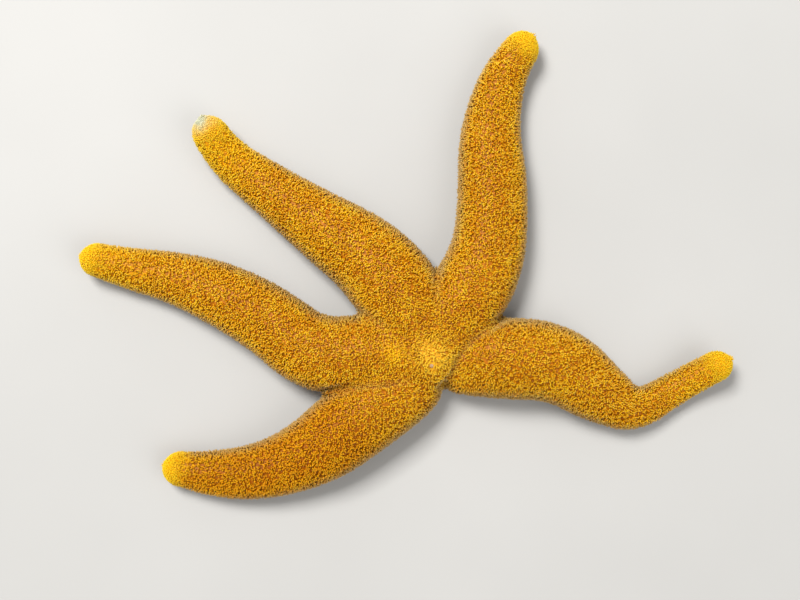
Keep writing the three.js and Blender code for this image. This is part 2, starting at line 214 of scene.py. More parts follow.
@dataclass
class Arm:
    """An arm: a centre line whose heading turns evenly between stops, and the sizes of its sections.

    Headings are in degrees, anticlockwise from +X seen from above, and lengths in millimetres.
    """

    length: float
    headings: tuple[float, ...]
    half_widths: tuple[float, ...]
    tip_lift: float
    root_dip: float
    stops: tuple[float, ...] = EVEN_STOPS
    steps: int = 400
    line: Array = field(init=False)

    def __post_init__(self) -> None:
        """Lay out the centre line as short straight steps along the heading."""
        middles = (np.arange(self.steps) + 0.5) / self.steps
        heading = np.radians(np.interp(middles, self.stops, self.headings))
        moves = np.stack([np.cos(heading), np.sin(heading)], axis=1) * self.length / self.steps
        self.line = np.vstack([np.zeros((1, 2)), np.cumsum(moves, axis=0)])

    def at(self, s: Array) -> Section:
        """Return the sections at distances s along the centre line from the disc's centre.

        The sizes shrink as the root of one less a square over the last stretch, so that the tip is round. The
        tip lifts as a power of the share of the way from where the lift starts.

        Args:
            s: The distances, in millimetres.

        Returns:
            The sections, with arrays of the shape of s.
        """
        share = np.clip(s / self.length, 0.0, 1.0)
        marks = np.linspace(0.0, 1.0, self.steps + 1)
        x, y = (np.interp(share, marks, self.line[:, axis]) for axis in (0, 1))
        heading = np.radians(np.interp(share, self.stops, self.headings))
        half = smooth_curve(self.stops, self.half_widths, share)
        tip = self.half_widths[-1]
        closing = np.sqrt(1.0 - np.clip((s - self.length + tip) / tip, 0.0, 1.0) ** 2)
        rising = np.clip((share - LIFT_STARTS) / (1.0 - LIFT_STARTS), 0.0, None)
        lift = self.tip_lift * rising**LIFT_POWER
        run = self.length * (1.0 - LIFT_STARTS)
        slope = self.tip_lift * LIFT_POWER * rising ** (LIFT_POWER - 1) / run
        dip = 1.0 - self.root_dip * (1.0 - ease(s / ROOT_DIP_REACH))
        cos, sin, zero = np.cos(heading), np.sin(heading), np.zeros_like(heading)
        return Section(
            centre=np.stack([x, y, BELLY_SHARE * half - FLOOR_SINK + lift], axis=-1),
            side=np.stack([-sin, cos, zero], axis=-1),
            up=unit(np.stack([-slope * cos, -slope * sin, zero + 1.0], axis=-1)),
            half_width=half * closing,
            top=TOP_SHARE * half * dip * closing,
            belly=BELLY_SHARE * half * closing,
        )

    def surface(self, s: Array, across: Array, over: Array) -> Array:
        """Work out points of the arm's own surface.

        A point is the section's centre, moved aside by its share of the half width, and up or down by what
        the superellipse leaves of the height or depth.

        Args:
            s: Distances along the centre line.
            across: How far across the section, from -1 to 1.
            over: Whether the point is on the back.

        Returns:
            The points, one for each entry of s.
        """
        section = self.at(s)
        power = np.where(over, TOP_ROUNDNESS, BELLY_ROUNDNESS)
        rise = np.clip(1.0 - np.abs(across) ** power, 0.0, 1.0) ** (1 / power)
        high = np.where(over, section.top, -section.belly) * rise
        aside = section.side * (across * section.half_width)[..., None]
        return section.centre + aside + section.up * high[..., None]

    def foot(self, plan: Array) -> Array:
        """Return how far along the inner centre line it passes nearest to each place seen from above.

        The nearest of widely spaced points of the line is found first, then the nearest of those beside it.

        Args:
            plan: The places, as rows of x and y.

        Returns:
            The distances along the line.
        """
        step = self.length / self.steps
        last = int(np.ceil(FOOT_REACH / step))
        coarse = np.arange(4, last, 8)
        i = coarse[((plan[:, None] - self.line[coarse]) ** 2).sum(axis=2).argmin(axis=1)]
        beside = np.clip(i[:, None] + np.arange(-5, 6), 1, last)
        nearest = ((plan[:, None] - self.line[beside]) ** 2).sum(axis=2).argmin(axis=1)
        i = beside[np.arange(len(plan)), nearest]
        along = unit(self.line[i + 1] - self.line[i - 1])
        return np.maximum(i * step + ((plan - self.line[i]) * along).sum(axis=1), 0.0)

    def outside(self, points: Array) -> tuple[Array, Array]:
        """Measure how far points are outside the arm's surface, by the section nearest to each.

        Args:
            points: The points, one in each row.

        Returns:
            The measure, and the way in which it grows.
        """
        section = self.at(self.foot(points[:, :2]))
        out = points[:, :2] - section.centre[:, :2]
        aside = np.linalg.norm(out, axis=1)
        above = points[:, 2] - section.centre[:, 2]
        sizes = section.half_width, section.top, section.belly
        far, grows_aside, grows_up = section_field(aside, above, sizes)
        way = np.column_stack([unit(out) * grows_aside[:, None], grows_up])
        return far, way


@dataclass(frozen=True)
class Crease:
    """A groove in the skin along a line over the back, seen from above, that dies out at its last point."""

    line: tuple[tuple[float, float], ...]
    depth: float
    width: float
    fading: float = 2.5

    def strength(self, points: Array) -> Array:
        """Return how near points are to the groove: a bell over the distance from its line.

        The bell is lowered along the line, from one at its first point to none at its last.

        Args:
            points: The points, of which only the places seen from above count.

        Returns:
            The strength, from 0 to 1.
        """
        plan, best = points[..., :2], np.zeros(points.shape[:-1])
        stops = np.array(self.line)
        for i, (start, end) in enumerate(zip(stops[:-1], stops[1:])):
            run = end - start
            share = np.clip(((plan - start) @ run) / (run @ run), 0.0, 1.0)
            away = np.linalg.norm(plan - start - share[..., None] * run, axis=-1)
            left = 1.0 - (i + share) / (len(stops) - 1)
            best = np.maximum(best, bell(away, self.width) * ease(left * self.fading))
        return best


@dataclass(frozen=True)
class Corner:
    """Where two arms meet, and the place towards which the seam sets out to it, seen from above.

    A notch draws the skin in at the corner, towards the disc's centre, by the given depth.
    """

    at: tuple[float, float]
    towards: tuple[float, float]
    notch: float = 0.0
    notch_width: float = 1.3

    def seam(self, share: Array) -> Array:
        """Return places on the seam: a quadratic Bezier curve from the disc's centre to the corner."""
        bent = 2.0 * share * (1.0 - share)
        return bent[..., None] * np.array(self.towards) + (share**2)[..., None] * np.array(self.at)


@dataclass
class Body:
    """The whole body's outer surface, at the tips of the coat: five arms blended round a domed disc."""

    arms: tuple[Arm, ...] = (
        Arm(65.5, (54, 55, 85, 94, 74, 44), (7.4, 7.6, 6.9, 6.3, 4.8, 3.4), 3.2, 0.1),
        Arm(62.7, (112, 123, 146, 145, 144, 112), (8.0, 8.4, 7.4, 5.8, 4.4, 3.4), 5.4, 0.08),
        Arm(
            70.5,
            (184, 183, 141, 156, 169, 163),
            (7.8, 7.5, 6.9, 6.1, 4.5, 3.2),
            3.0,
            0.06,
            (0.0, 0.22, 0.38, 0.6, 0.8, 1.0),
        ),
        Arm(
            59.2,
            (245, 218, 218, 200, 179, 164),
            (6.4, 7.6, 7.3, 5.9, 4.6, 3.2),
            1.8,
            0.28,
            (0.0, 0.15, 0.4, 0.6, 0.8, 1.0),
        ),
        Arm(
            62.4,
            (-8, -2, -37, -28, 31, 31),
            (7.4, 7.7, 6.8, 5.1, 3.5, 3.0),
            4.2,
            0.48,
            (0.0, 0.3, 0.48, 0.62, 0.74, 1.0),
        ),
    )
    corners: tuple[Corner, ...] = (
        Corner((1.9, 16.4), (0.9, 8.2)),
        Corner((-14.2, 8.0), (-6.8, 4.2)),
        Corner((-19.0, -7.9), (-6.6, -6.0)),
        Corner((3.3, -7.4), (1.6, -3.7), 1.6),
        Corner((15.0, 7.4), (7.5, 3.4)),
    )
    disc_radius: float = 7.5
    disc_height: float = 11.6
    crease_rounding: float = 1.1
    furrow_edge: float = 0.2
    furrow_floor: float = 0.1
    furrow_depth: float = 0.3
    mouth_radius: float = 2.6
    mouth_depth: float = 3.4
    mouth_share: float = 0.1
    back_fade: float = 1.5
    seam_share: float = 0.55
    seam_power: float = 1.5
    opened_share: float = 0.2
    creases: tuple[Crease, ...] = (
        Crease(((14.8, 6.8), (8.4, 2.3), (5.4, -1.5), (3.3, -6.4), (3.0, -9.0)), 0.55, 0.75),
        Crease(((-20.0, -7.8), (-14.0, -6.6), (-7.0, -6.2), (-2.0, -5.0)), 0.6, 0.8),
        Crease(((1.9, 16.0), (1.7, 12.0), (1.4, 8.0)), 0.4, 0.8),
        Crease(((-14.0, 7.8), (-10.0, 6.0), (-6.0, 4.0)), 0.3, 0.8),
    )

    @property
    def waist(self) -> float:
        """The height of the disc's widest level."""
        return BELLY_SHARE * self.arms[0].half_widths[0] - FLOOR_SINK

    def left(self, k: Array, along: Array) -> Array:
        """Return how far it is to the tips of arms k from distances along them."""
        return np.array([arm.length for arm in self.arms])[k] - along

    def on_back(self, points: Array) -> Array:
        """Return 0 for points below the disc's widest level, which eases to 1 a little above it."""
        return ease((points[..., 2] - self.waist) / self.back_fade)

    def outside(self, points: Array) -> tuple[Array, Array]:
        """Measure how far points near the disc are outside the body.

        The least of the fields of the disc's dome and of the arms is taken one after the other. Where two
        are less than the crease's rounding apart, it is lowered by a quarter of the square of their overlap.

        Args:
            points: The points, one in each row.

        Returns:
            The measure, and the way in which it grows.
        """
        reach = np.maximum(np.hypot(points[:, 0], points[:, 1]), 1e-6)
        sizes = self.disc_radius, self.disc_height - self.waist, self.waist + FLOOR_SINK
        far, aside, up = section_field(reach, points[:, 2] - self.waist, sizes)
        way = np.column_stack([points[:, :2] * (aside / reach)[:, None], up])
        for arm in self.arms:
            other, other_way = arm.outside(points)
            overlap = np.clip(1.0 - np.abs(far - other) / self.crease_rounding, 0.0, None)
            nearer = (far < other)[:, None]
            near_way, far_way = np.where(nearer, way, other_way), np.where(nearer, other_way, way)
            far = np.minimum(far, other) - overlap**2 * self.crease_rounding / 4.0
            way = mix(near_way, far_way, overlap[:, None] / 2.0)
        return far, way

    def settle(self, points: Array, turns: int = 8, stride: float = 0.9, batch: int = 20000) -> Array:
        """Move points along the body's field, by Newton's steps, until they lie on its surface.

        Args:
            points: The points, one in each row.
            turns: How many steps are taken.
            stride: How much of each step is taken.
            batch: How many points are moved at once.

        Returns:
            The moved points.
        """
        settled = []
        for part in np.array_split(points, max(len(points) // batch, 1)):
            for _ in range(turns):
                far, way = self.outside(part)
                part = part - way * (stride * far / np.maximum((way**2).sum(axis=1), 0.2))[:, None]
            settled.append(part)
        return np.vstack(settled)

    def creased(self, points: Array) -> Array:
        """Return how deep in a crease of the back points lie, from 0 to 1."""
        return self.on_back(points) * np.max([crease.strength(points) for crease in self.creases], axis=0)

    def notched(self, points: Array, normals: Array) -> Array:
        """Draw points in at the creases, along their normals, and at the corners, towards the disc's centre.

        Args:
            points: The points.
            normals: Their outward normals.

        Returns:
            The moved points.
        """
        depth = np.max([crease.depth * crease.strength(points) for crease in self.creases], axis=0)
        moved = points - normals * (self.on_back(points) * depth)[..., None]
        for corner in self.corners:
            away = np.hypot(points[..., 0] - corner.at[0], points[..., 1] - corner.at[1])
            pull = corner.notch * bell(away, corner.notch_width)
            inward = -np.array([*corner.at, 0.0]) / np.hypot(*corner.at)
            moved = moved + inward * pull[..., None]
        return moved

    def seam_points(self, corner: Corner, wide: Array, over: Array) -> Array:
        """Work out points of the radial seam at a corner.

        Seen from above they lie on the seam's curve, and their height is that of the disc's superellipse.

        Args:
            corner: The corner where the seam ends.
            wide: How far out, from 0 at the disc's middle to 1 at the corner.
            over: Whether the point is on the back.

        Returns:
            The points, before they are settled on the body.
        """
        power = np.where(over, TOP_ROUNDNESS, BELLY_ROUNDNESS)
        rise = np.clip(1.0 - wide**power, 0.0, 1.0) ** (1 / power)
        reach = float(np.hypot(*corner.at))
        mouthward = np.minimum(wide / self.furrow_edge, 1.0) * self.mouth_radius
        beyond = np.maximum(wide - self.furrow_edge, 0.0) / (1.0 - self.furrow_edge)
        below = (mouthward + beyond * (reach - self.mouth_radius)) / reach
        tall = np.where(over, self.disc_height - self.waist, -self.waist - FLOOR_SINK)
        plan, height = corner.seam(np.where(over, wide, below)), self.waist + rise * tall
        return np.concatenate([plan, height[..., None]], axis=-1)

    def sleeve(self, k: int, shares: Array, across: Array, over: Array) -> tuple[Array, Array]:
        """Work out the outer surface of arm k on a grid of rows along it and columns round it.

        The rows start as the two seams beside the arm and open out into its own sections. Points inside the
        blend's reach are settled on the body.

        Args:
            k: Which arm.
            shares: Each row's share of the way from the seams to the tip.
            across: How far across each column runs, from -1 to 1.
            over: Whether each column is on the back.

        Returns:
            Points of shape rows by columns by 3, in millimetres from the disc's centre, and each one's
            distance along the arm.
        """
        arm = self.arms[k]
        sides = (self.corners[k - 1], self.corners[k])
        feet = arm.foot(np.array([corner.at for corner in sides]))
        share, column = np.broadcast_arrays(shares[:, None], across[None, :])
        wide, top_side = np.abs(column), np.broadcast_to(over[None, :], column.shape)
        opened = 1.0 - np.maximum(1.0 - share / self.opened_share, 0.0) ** 2
        swept = np.maximum(1.0 - share / self.seam_share, 0.0) ** self.seam_power
        s = share * arm.length + swept * np.where(column > 0, feet[1], feet[0]) * wide ** (1.0 + opened)
        right, left = (self.seam_points(corner, wide, top_side) for corner in sides)
        start = np.where((column > 0)[..., None], left, right)
        points = mix(start, arm.surface(s, column, top_side), opened[..., None])
        inner = np.hypot(points[..., 0], points[..., 1]) < BLEND_RADIUS
        points[inner] = self.settle(points[inner])
        return points, s

    def hollow(self, k: int, points: Array, s: Array, shares: Array, across: Array, over: Array) -> Array:
        """Flatten a sleeve's belly at the floor and hollow it by furrow and mouth.

        Its middle rises by a share of the arm's half width, and by the mouth's depth near the disc's centre.
        This dies away smoothly between the furrow's floor and its edge.

        Args:
            k: Which arm.
            points: The sleeve's points.
            s: Their distances along the arm.
            shares: Each row's share of the way to the tip.
            across: How far across each column runs.
            over: Whether each column is on the back.

        Returns:
            The moved points.
        """
        wide = np.abs(across)[None, :]
        furrow = 1.0 - ease((wide - self.furrow_floor) / (self.furrow_edge - self.furrow_floor))
        along = self.furrow_depth * self.arms[k].at(s).half_width
        depth = mix(self.mouth_depth, along, ease(shares / self.mouth_share)[:, None])
        raised = np.maximum(points[..., 2], 0.0) + furrow * depth
        level = np.where(over[None, :], points[..., 2], raised)
        return np.concatenate([points[..., :2], level[..., None]], axis=-1)


# ---- meshes from arrays ----


def net(own: Array, place: Array) -> tuple[Array, Array]:
    """Return the triangles of a grid whose columns close round, and the UV places of their corners.

    Each cell is cut from its first corner to the one across. Halves that have closed up are left out.

    Args:
        own: The number of the point at each row and column, of one sheet or of several.
        place: The UV place at each row and column, with one column more.

    Returns:
        The triangles, whose front lies where the cross product of the rows' way and the columns' way points,
        and a UV place for each of their corners.
    """
    after = np.roll(own, -1, axis=-1)
    a, b, c, d = own[..., :-1, :], after[..., :-1, :], after[..., 1:, :], own[..., 1:, :]
    pa, pb = place[..., :-1, :-1, :], place[..., :-1, 1:, :]
    pc, pd = place[..., 1:, 1:, :], place[..., 1:, :-1, :]
    triangles = np.concatenate([np.stack([a, c, b], -1), np.stack([a, d, c], -1)]).reshape(-1, 3)
    uv = np.concatenate([np.stack([pa, pc, pb], -2), np.stack([pa, pd, pc], -2)]).reshape(-1, 3, 2)
    whole = (triangles != np.roll(triangles, 1, axis=1)).all(axis=1)
    return triangles[whole], uv[whole]


def placed(name: str, data: bpy.types.ID) -> bpy.types.Object:
    """Return a new object with the given mesh, lamp or camera, in the scene.

    Args:
        name: The object's name.
        data: The mesh, lamp or camera.

    Returns:
        The object, at the origin, unturned and unscaled.
    """
    thing = bpy.data.objects.new(name, data)
    bpy.context.scene.collection.objects.link(thing)
    return thing


@dataclass
class Surface:
    """A triangle mesh as arrays: points in the shared frame, and numbers carried by its points."""

    points: Array
    triangles: Array
    corner_uv: Array
    tones: dict[str, Array] = field(default_factory=dict)

    def pruned(self) -> "Surface":
        """Leave out points that no triangle uses.

        Returns:
            The surface with its other points, renumbered.
        """
        used, renumbered = np.unique(self.triangles.ravel(), return_inverse=True)
        tones = {name: values[used] for name, values in self.tones.items()}
        return Surface(self.points[used], renumbered.reshape(-1, 3), self.corner_uv, tones)

    def build(self, name: str, material: bpy.types.Material, slot: str) -> bpy.types.Object:
        """Make the mesh object, smooth shaded, riding on the one body.

        Args:
            name: The piece's name.
            material: Its finish.
            slot: A material slot's name, which is not used.

        Returns:
            The new object, at the origin, unturned and unscaled.
        """
        mesh = bpy.data.meshes.new(name)
        count = len(self.triangles)
        mesh.vertices.add(len(self.points))
        mesh.loops.add(3 * count)
        mesh.polygons.add(count)
        mesh.vertices.foreach_set("co", (self.points * MM).astype(np.float32).ravel())
        mesh.loops.foreach_set("vertex_index", self.triangles.astype(np.int32).ravel())
        mesh.polygons.foreach_set("loop_start", np.arange(0, 3 * count, 3, dtype=np.int32))
        mesh.polygons.foreach_set("use_smooth", np.ones(count, dtype=bool))
        layer = mesh.uv_layers.new(name="OFBake")
        layer.data.foreach_set("uv", self.corner_uv.astype(np.float32).ravel())
        for tone, values in self.tones.items():
            held = mesh.attributes.new(tone, "FLOAT", "POINT")
            held.data.foreach_set("value", values.astype(np.float32))
        mesh.materials.append(material)
        mesh.update(calc_edges=True)
        mesh.validate()
        piece = placed(name, mesh)
        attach(piece, "root")
        LOG.info("%s: %d triangles", name, count)
        return piece


def in_frame(points: Array) -> Array:
    """Return points given from the disc's centre as points of the shared frame."""
    return points + np.array([*DISC_CENTRE, 0.0])


@dataclass(frozen=True)
class Profile:
    """How a rod's thickness changes along it: levels from 0 to 1, and the share of its radius at each."""

    levels: tuple[float, ...]
    widths: tuple[float, ...]
    sides: int

    def net(self) -> tuple[Array, Array]:
        """Return one rod's triangles and their corners' places on its UV patch.

        The foot is a fan from the first point. The last ring closes in the end point, whose place lies over
        the middle of each side.

        Returns:
            The triangles, facing outwards, and the places, with the turn across and the level up.
        """
        rings, sides = len(self.levels), self.sides
        rows = np.arange(rings * sides).reshape(rings, sides)
        own = np.vstack([np.zeros((1, sides), int), rows, np.full((1, sides), rings * sides)])
        place = np.stack(np.meshgrid(np.arange(sides + 1) / sides, (0.0, *self.levels, 1.0)), axis=-1)
        place[0] = 0.0
        place[-1, :, 0] -= 0.5 / sides
        triangles, uv = net(own, place)
        return triangles[:, ::-1], uv[:, ::-1]


@dataclass
class Rods:
    """Many like rods with their roots on the skin: spines, papulae and tube feet."""

    roots: Array
    ways: Array
    lengths: Array
    radii: Array
    places: Array
    tones: dict[str, Array]
    bends: Array | None = None

    def __post_init__(self) -> None:
        """Make the rods straight where no bends are given."""
        if self.bends is None:
            self.bends = np.zeros_like(self.roots)

    def chosen(self, which: Array) -> "Rods":
        """Return only the chosen rods.

        Args:
            which: Whether each rod is kept.

        Returns:
            The kept rods.
        """
        tones = {name: values[which] for name, values in self.tones.items()}
        kept = (self.roots, self.ways, self.lengths, self.radii, self.places)
        return Rods(*(values[which] for values in kept), tones, self.bends[which])

    def surface(self, profile: Profile, floor: float = 0.012, patch: float = 0.003) -> Surface:
        """Work out the rods' surface.

        A ring of each rod lies round a point of its axis, which is the root plus the level times the length
        along its way, plus the level squared times its bend. The last level closes in one point. Each rod's
        UV patch is as wide as patch, at its root's place on the skin's unwrap.

        Args:
            profile: The levels, the widths and the number of sides.
            floor: The least height of any point, in millimetres.
            patch: The width of a rod's patch on the UV map.

        Returns:
            The joined surface of all the rods.
        """
        count, rings, sides = len(self.roots), len(profile.levels), profile.sides
        level = np.array([*profile.levels, 1.0])
        first, second = frames(self.ways)
        turn = np.arange(sides) * 2 * np.pi / sides
        round_it = first[:, None] * np.cos(turn)[:, None] + second[:, None] * np.sin(turn)[:, None]
        straight = self.ways[:, None] * (level[:, None] * self.lengths[:, None, None])
        axis = self.roots[:, None] + straight + self.bends[:, None] * level[:, None] ** 2
        width = self.radii[:, None, None, None] * np.array(profile.widths)[:, None, None]
        ring = axis[:, :rings, None] + round_it[:, None] * width
        points = np.concatenate([ring.reshape(count, -1, 3), axis[:, rings:]], axis=1)
        points[..., 2] = np.maximum(points[..., 2], floor)
        template, uv = profile.net()
        each = rings * sides + 1
        triangles = template[None] + (np.arange(count) * each)[:, None, None]
        tones = {name: np.repeat(values, each) for name, values in self.tones.items()}
        rise = np.append(np.repeat(profile.levels, sides), 1.0)
        tones["rise"] = np.tile(rise, count)
        corner_uv = self.places[:, None, None, :] + (uv[None] - 0.5) * patch
        return Surface(
            in_frame(points.reshape(-1, 3)),
            triangles.reshape(-1, 3),
            np.clip(corner_uv, 0.0, 1.0).reshape(-1, 2),
            tones,
        )


@dataclass
class Skin:
    """The soft skin under the coat: one closed surface over the disc and all five arms.

    Each arm's sleeve is a grid of rows along it and columns round it. Columns run over the back from the
    right flank to the left one and return under the belly, closer together beside the furrow.
    """

    body: Body
    coat_depth: float = 0.6
    tip_coat: float = 0.38
    tip_reach: float = 8.0
    furrow_coat: float = 0.2
    furrow_starts: float = 0.5
    furrow_fade: float = 0.9
    furrow_ends: float = 1.2
    upright_starts: float = 0.3
    upright_fade: float = 0.2
    fine_reach: float = 0.26
    rows: int = 150
    tip_rows: int = 16
    back_columns: int = 60
    belly_columns: int = 44

    def __post_init__(self) -> None:
        """Work out the sleeves, even them out, hollow the belly, and draw all in by the coat's depth."""
        body, arms = self.body, range(ARM_COUNT)
        self.across, self.over = self._columns()
        self.shares = np.stack([self._shares(arm) for arm in body.arms])
        self.owner = self._owners()
        self.triangles, self.corner_uv = self._net()
        sleeves = [body.sleeve(k, self.shares[k], self.across, self.over) for k in arms]
        smooth = self._even(np.stack([points for points, _ in sleeves]))
        self.along = np.stack([along for _, along in sleeves])
        grids = zip(arms, smooth, self.along, self.shares)
        hollowed = [body.hollow(*grid, self.across, self.over) for grid in grids]
        outer = self._joined(np.stack(hollowed))
        left = body.left(np.arange(ARM_COUNT)[:, None, None], self.along)
        self.furrow = self._furrow() * ease((left - self.furrow_ends) / self.furrow_ends)
        coat = mix(self.tip_coat, self.coat_depth, ease(left / self.tip_reach))
        depth = mix(coat, self.furrow_coat, self.furrow)
        normals = self._normals(outer)
        inward = unit(mix(-normals, UP, self._upright()[:, None]))
        drawn_in = body.notched(outer, normals) + inward * depth[..., None]
        self.grid = self._mended(self._joined(drawn_in))
        self.normals = self._normals(self.grid)

    def _furrow(self) -> Array:
        """Return how much each column lies in the furrow: 1 in its middle, easing to 0 past its edge."""
        beyond = np.abs(self.across) - self.furrow_starts * self.body.furrow_edge
        return np.where(self.over, 0.0, 1.0 - ease(beyond / (self.furrow_fade * self.body.furrow_edge)))

    def _upright(self) -> Array:
        """Return how much each column is drawn in straight up: 1 mid belly, easing to 0 towards the back."""
        beyond = np.abs(self.across) - self.upright_starts
        return np.where(self.over, 0.0, 1.0 - ease(beyond / self.upright_fade))

    def _joined(self, grid: Array) -> Array:
        """Return the grid with each point at the place of the one that stands for it."""
        return grid.reshape(-1, grid.shape[-1])[self.owner].reshape(grid.shape)

    def _even(self, grid: Array, rounds: int = 8, steps: int = 24) -> Array:
        """Even out the grid round the disc, where the sleeves' rows crowd together or cross.

        Each point moves half way to the middle of its neighbours, many times over, and in between all are
        settled on the body again. The furrow's columns and the outer lengths of the arms stay as they are.

        Args:
            grid: The sleeves' points.
            rounds: How often they are settled.
            steps: How often they are moved before each settling.

        Returns:
            The evened points.
        """
        held_across, freed_over = 0.28, 0.12  # the belly's columns that stay, and the stretch beside them
        reach, fade = 25.0, 4.0  # how far from the disc's centre points move, and over what this fades
        flat = self._joined(grid).reshape(-1, 3)
        belly = ease((np.abs(self.across) - held_across) / freed_over)
        free = np.broadcast_to(np.where(self.over, 1.0, belly), grid.shape[:3]).reshape(-1)
        away = np.hypot(flat[:, 0], flat[:, 1])
        weight = 0.5 * free * ease((reach - away) / fade)
        inner = np.flatnonzero((away < BLEND_RADIUS) & (self.owner == np.arange(len(flat))))
        for _ in range(rounds):
            flat = self._relaxed(flat, weight, steps)
            flat[inner] = self.body.settle(flat[inner], 3)
        flat[inner] = self.body.settle(flat[inner], 4)
        return self._joined(flat.reshape(grid.shape))

    def _mended(self, grid: Array, rounds: int = 12, steps: int = 6, agreement: float = 0.35) -> Array:
        """Smooth the points of triangles that face away from their neighbours, over a set number of rounds.

        Args:
            grid: The drawn-in points.
            rounds: How often folded triangles are looked for.
            steps: How often their points, and the points next to them, move half way to their neighbours.
            agreement: The least cosine between a triangle's facing and the normals round it.

        Returns:
            The mended points.
        """
        flat = grid.reshape(-1, 3)
        for _ in range(rounds):
            corners = flat[self.triangles]
            facing = unit(np.cross(corners[:, 1] - corners[:, 0], corners[:, 2] - corners[:, 0]))
            normals = self._normals(flat.reshape(grid.shape)).reshape(-1, 3)
            around = unit(normals[self.triangles].mean(axis=1))
            marked = np.zeros(len(flat))
            marked[self.triangles[(facing * around).sum(axis=1) < agreement]] = 1.0
            for _ in range(2):
                marked[self.triangles[marked[self.triangles].any(axis=1)]] = 1.0
            flat = self._relaxed(flat, 0.5 * marked, steps)
        return self._joined(flat.reshape(grid.shape))

    def _relaxed(self, flat: Array, weight: Array, steps: int) -> Array:
        """Move points towards the middle of their neighbours, several times.

        Args:
            flat: The grid's points, one in each row.
            weight: How much of the way each one moves.
            steps: How often they move.

        Returns:
            The moved points.
        """
        links = np.concatenate([self.triangles[:, ends] for ends in ([0, 1], [1, 2], [2, 0])])
        links = links[weight[links[:, 0]] > 0]
        moved, first = np.unique(links[:, 0], return_inverse=True)
        count = np.bincount(first)
        share = weight[moved][:, None]
        flat = flat.copy()
        for _ in range(steps):
            pull = np.stack([np.bincount(first, flat[links[:, 1], axis]) for axis in range(3)], axis=1)
            flat[moved] = mix(flat[moved], pull / count[:, None], share)
        return flat

    def _shares(self, arm: Arm) -> Array:
        """Return the rows' shares along an arm.

        They are even up to the round tip, where they follow a sine and close up towards its end.

        Args:
            arm: The arm.

        Returns:
            The shares, from 0 at the seams to 1 at the tip.
        """
        tip = arm.half_widths[-1] / arm.length
        closing = 1.0 - tip + tip * np.sin(np.linspace(0.0, np.pi / 2, self.tip_rows + 1)[1:])
        return np.concatenate([np.linspace(0.0, 1.0 - tip, self.rows), closing])

    def _columns(self) -> tuple[Array, Array]:
        """Work out the columns, even round the superellipses and finer on the middle of the belly.

        Returns:
            How far across each column runs, from -1 to 1, and whether it is on the back.
        """
        turn = np.linspace(-np.pi / 2, np.pi / 2, self.back_columns + 1)
        back = np.sign(turn) * np.abs(np.sin(turn)) ** (2 / TOP_ROUNDNESS)
        half = self.belly_columns // 2
        fine = np.linspace(0.0, self.fine_reach, half // 2 + 1)[:-1]
        starts = np.arcsin(self.fine_reach ** (BELLY_ROUNDNESS / 2))
        angle = np.linspace(starts, np.pi / 2, half - half // 2 + 1)
        side = np.concatenate([fine, np.sin(angle) ** (2 / BELLY_ROUNDNESS)])
        belly = np.concatenate([side[-2:0:-1], -side[:-1]])
        across = np.concatenate([back, belly])
        return across, np.arange(len(across)) <= self.back_columns

    def _owners(self) -> Array:
        """Work out which points stand for others where sleeves or tips come together.

        A seam's points belong to the sleeve on its right, the disc's middle to the first sleeve, and a tip to
        the first point of its last row.

        Returns:
            For each grid point the number of the point that stands for it.
        """
        rows, columns = self.shares.shape[1], len(self.across)
        own = np.arange(ARM_COUNT * rows * columns).reshape(ARM_COUNT, rows, columns)
        column, back = np.arange(columns), self.back_columns
        mirrored = np.where(column <= back, back - column, back + columns - column)
        right = np.flatnonzero(self.across < -1e-9)
        middle = np.flatnonzero(np.abs(self.across) < 1e-9)
        for k in range(ARM_COUNT):
            own[k, 0, right] = own[(k - 1) % ARM_COUNT, 0, mirrored[right]]
            own[k, -1] = own[k, -1, 0]
        own[:, 0, middle] = own[0, 0, middle]
        return own.ravel()

    def _net(self) -> tuple[Array, Array]:
        """Lay the triangles of all sleeves.

        Returns:
            The triangles, and the UV places of their corners.
        """
        own = self.owner.reshape(*self.shares.shape, len(self.across))
        turn = np.arange(len(self.across) + 1) / len(self.across)
        grids = np.broadcast_arrays(np.arange(ARM_COUNT)[:, None, None], self.shares[:, :, None], turn)
        return net(own, self.unwrap(*grids))

    @staticmethod
    def unwrap(k: Array, share: Array, turn: Array) -> Array:
        """Return UV places: the share along arm k, and the turn round it in the arm's fifth of the map."""
        return np.stack([0.002 + 0.996 * share, (k + 0.01 + 0.98 * turn) / ARM_COUNT], axis=-1)

    def _normals(self, grid: Array) -> Array:
        """Work out a grid's normals: at each joined point the sum of its triangles', weighed by area.

        Args:
            grid: The sleeves' points.

        Returns:
            The unit normals, in the shape of the grid.
        """
        flat = grid.reshape(-1, 3)
        corners = flat[self.triangles]
        facing = np.cross(corners[:, 1] - corners[:, 0], corners[:, 2] - corners[:, 0])
        at = self.triangles.ravel()
        total = [np.bincount(at, np.repeat(facing[:, axis], 3), minlength=len(flat)) for axis in range(3)]
        return self._joined(unit(np.stack(total, axis=1)).reshape(grid.shape))

    def scatter(self, density: Array, rng: np.random.Generator) -> "Places":
        """Scatter places over the skin.

        Each cell of the grid gets its area times the density of places, rounded up or down at random, and
        each place lies anywhere in its cell.

        Args:
            density: Places per square millimetre at each grid point.
            rng: The source of random numbers.

        Returns:
            The scattered places.
        """
        after = np.roll(self.grid, -1, axis=2)
        a, b, c, d = self.grid[:, :-1], after[:, :-1], after[:, 1:], self.grid[:, 1:]
        area = 0.5 * np.linalg.norm(np.cross(c - a, d - b), axis=-1)
        wanted = area * density[:, :-1]
        number = np.floor(wanted + rng.random(wanted.shape)).astype(int)
        cells = np.indices(number.shape).reshape(3, -1)
        k, row, column = (np.repeat(index, number.ravel()) for index in cells)
        return self.places(k, row + rng.random(len(row)), column + rng.random(len(row)))

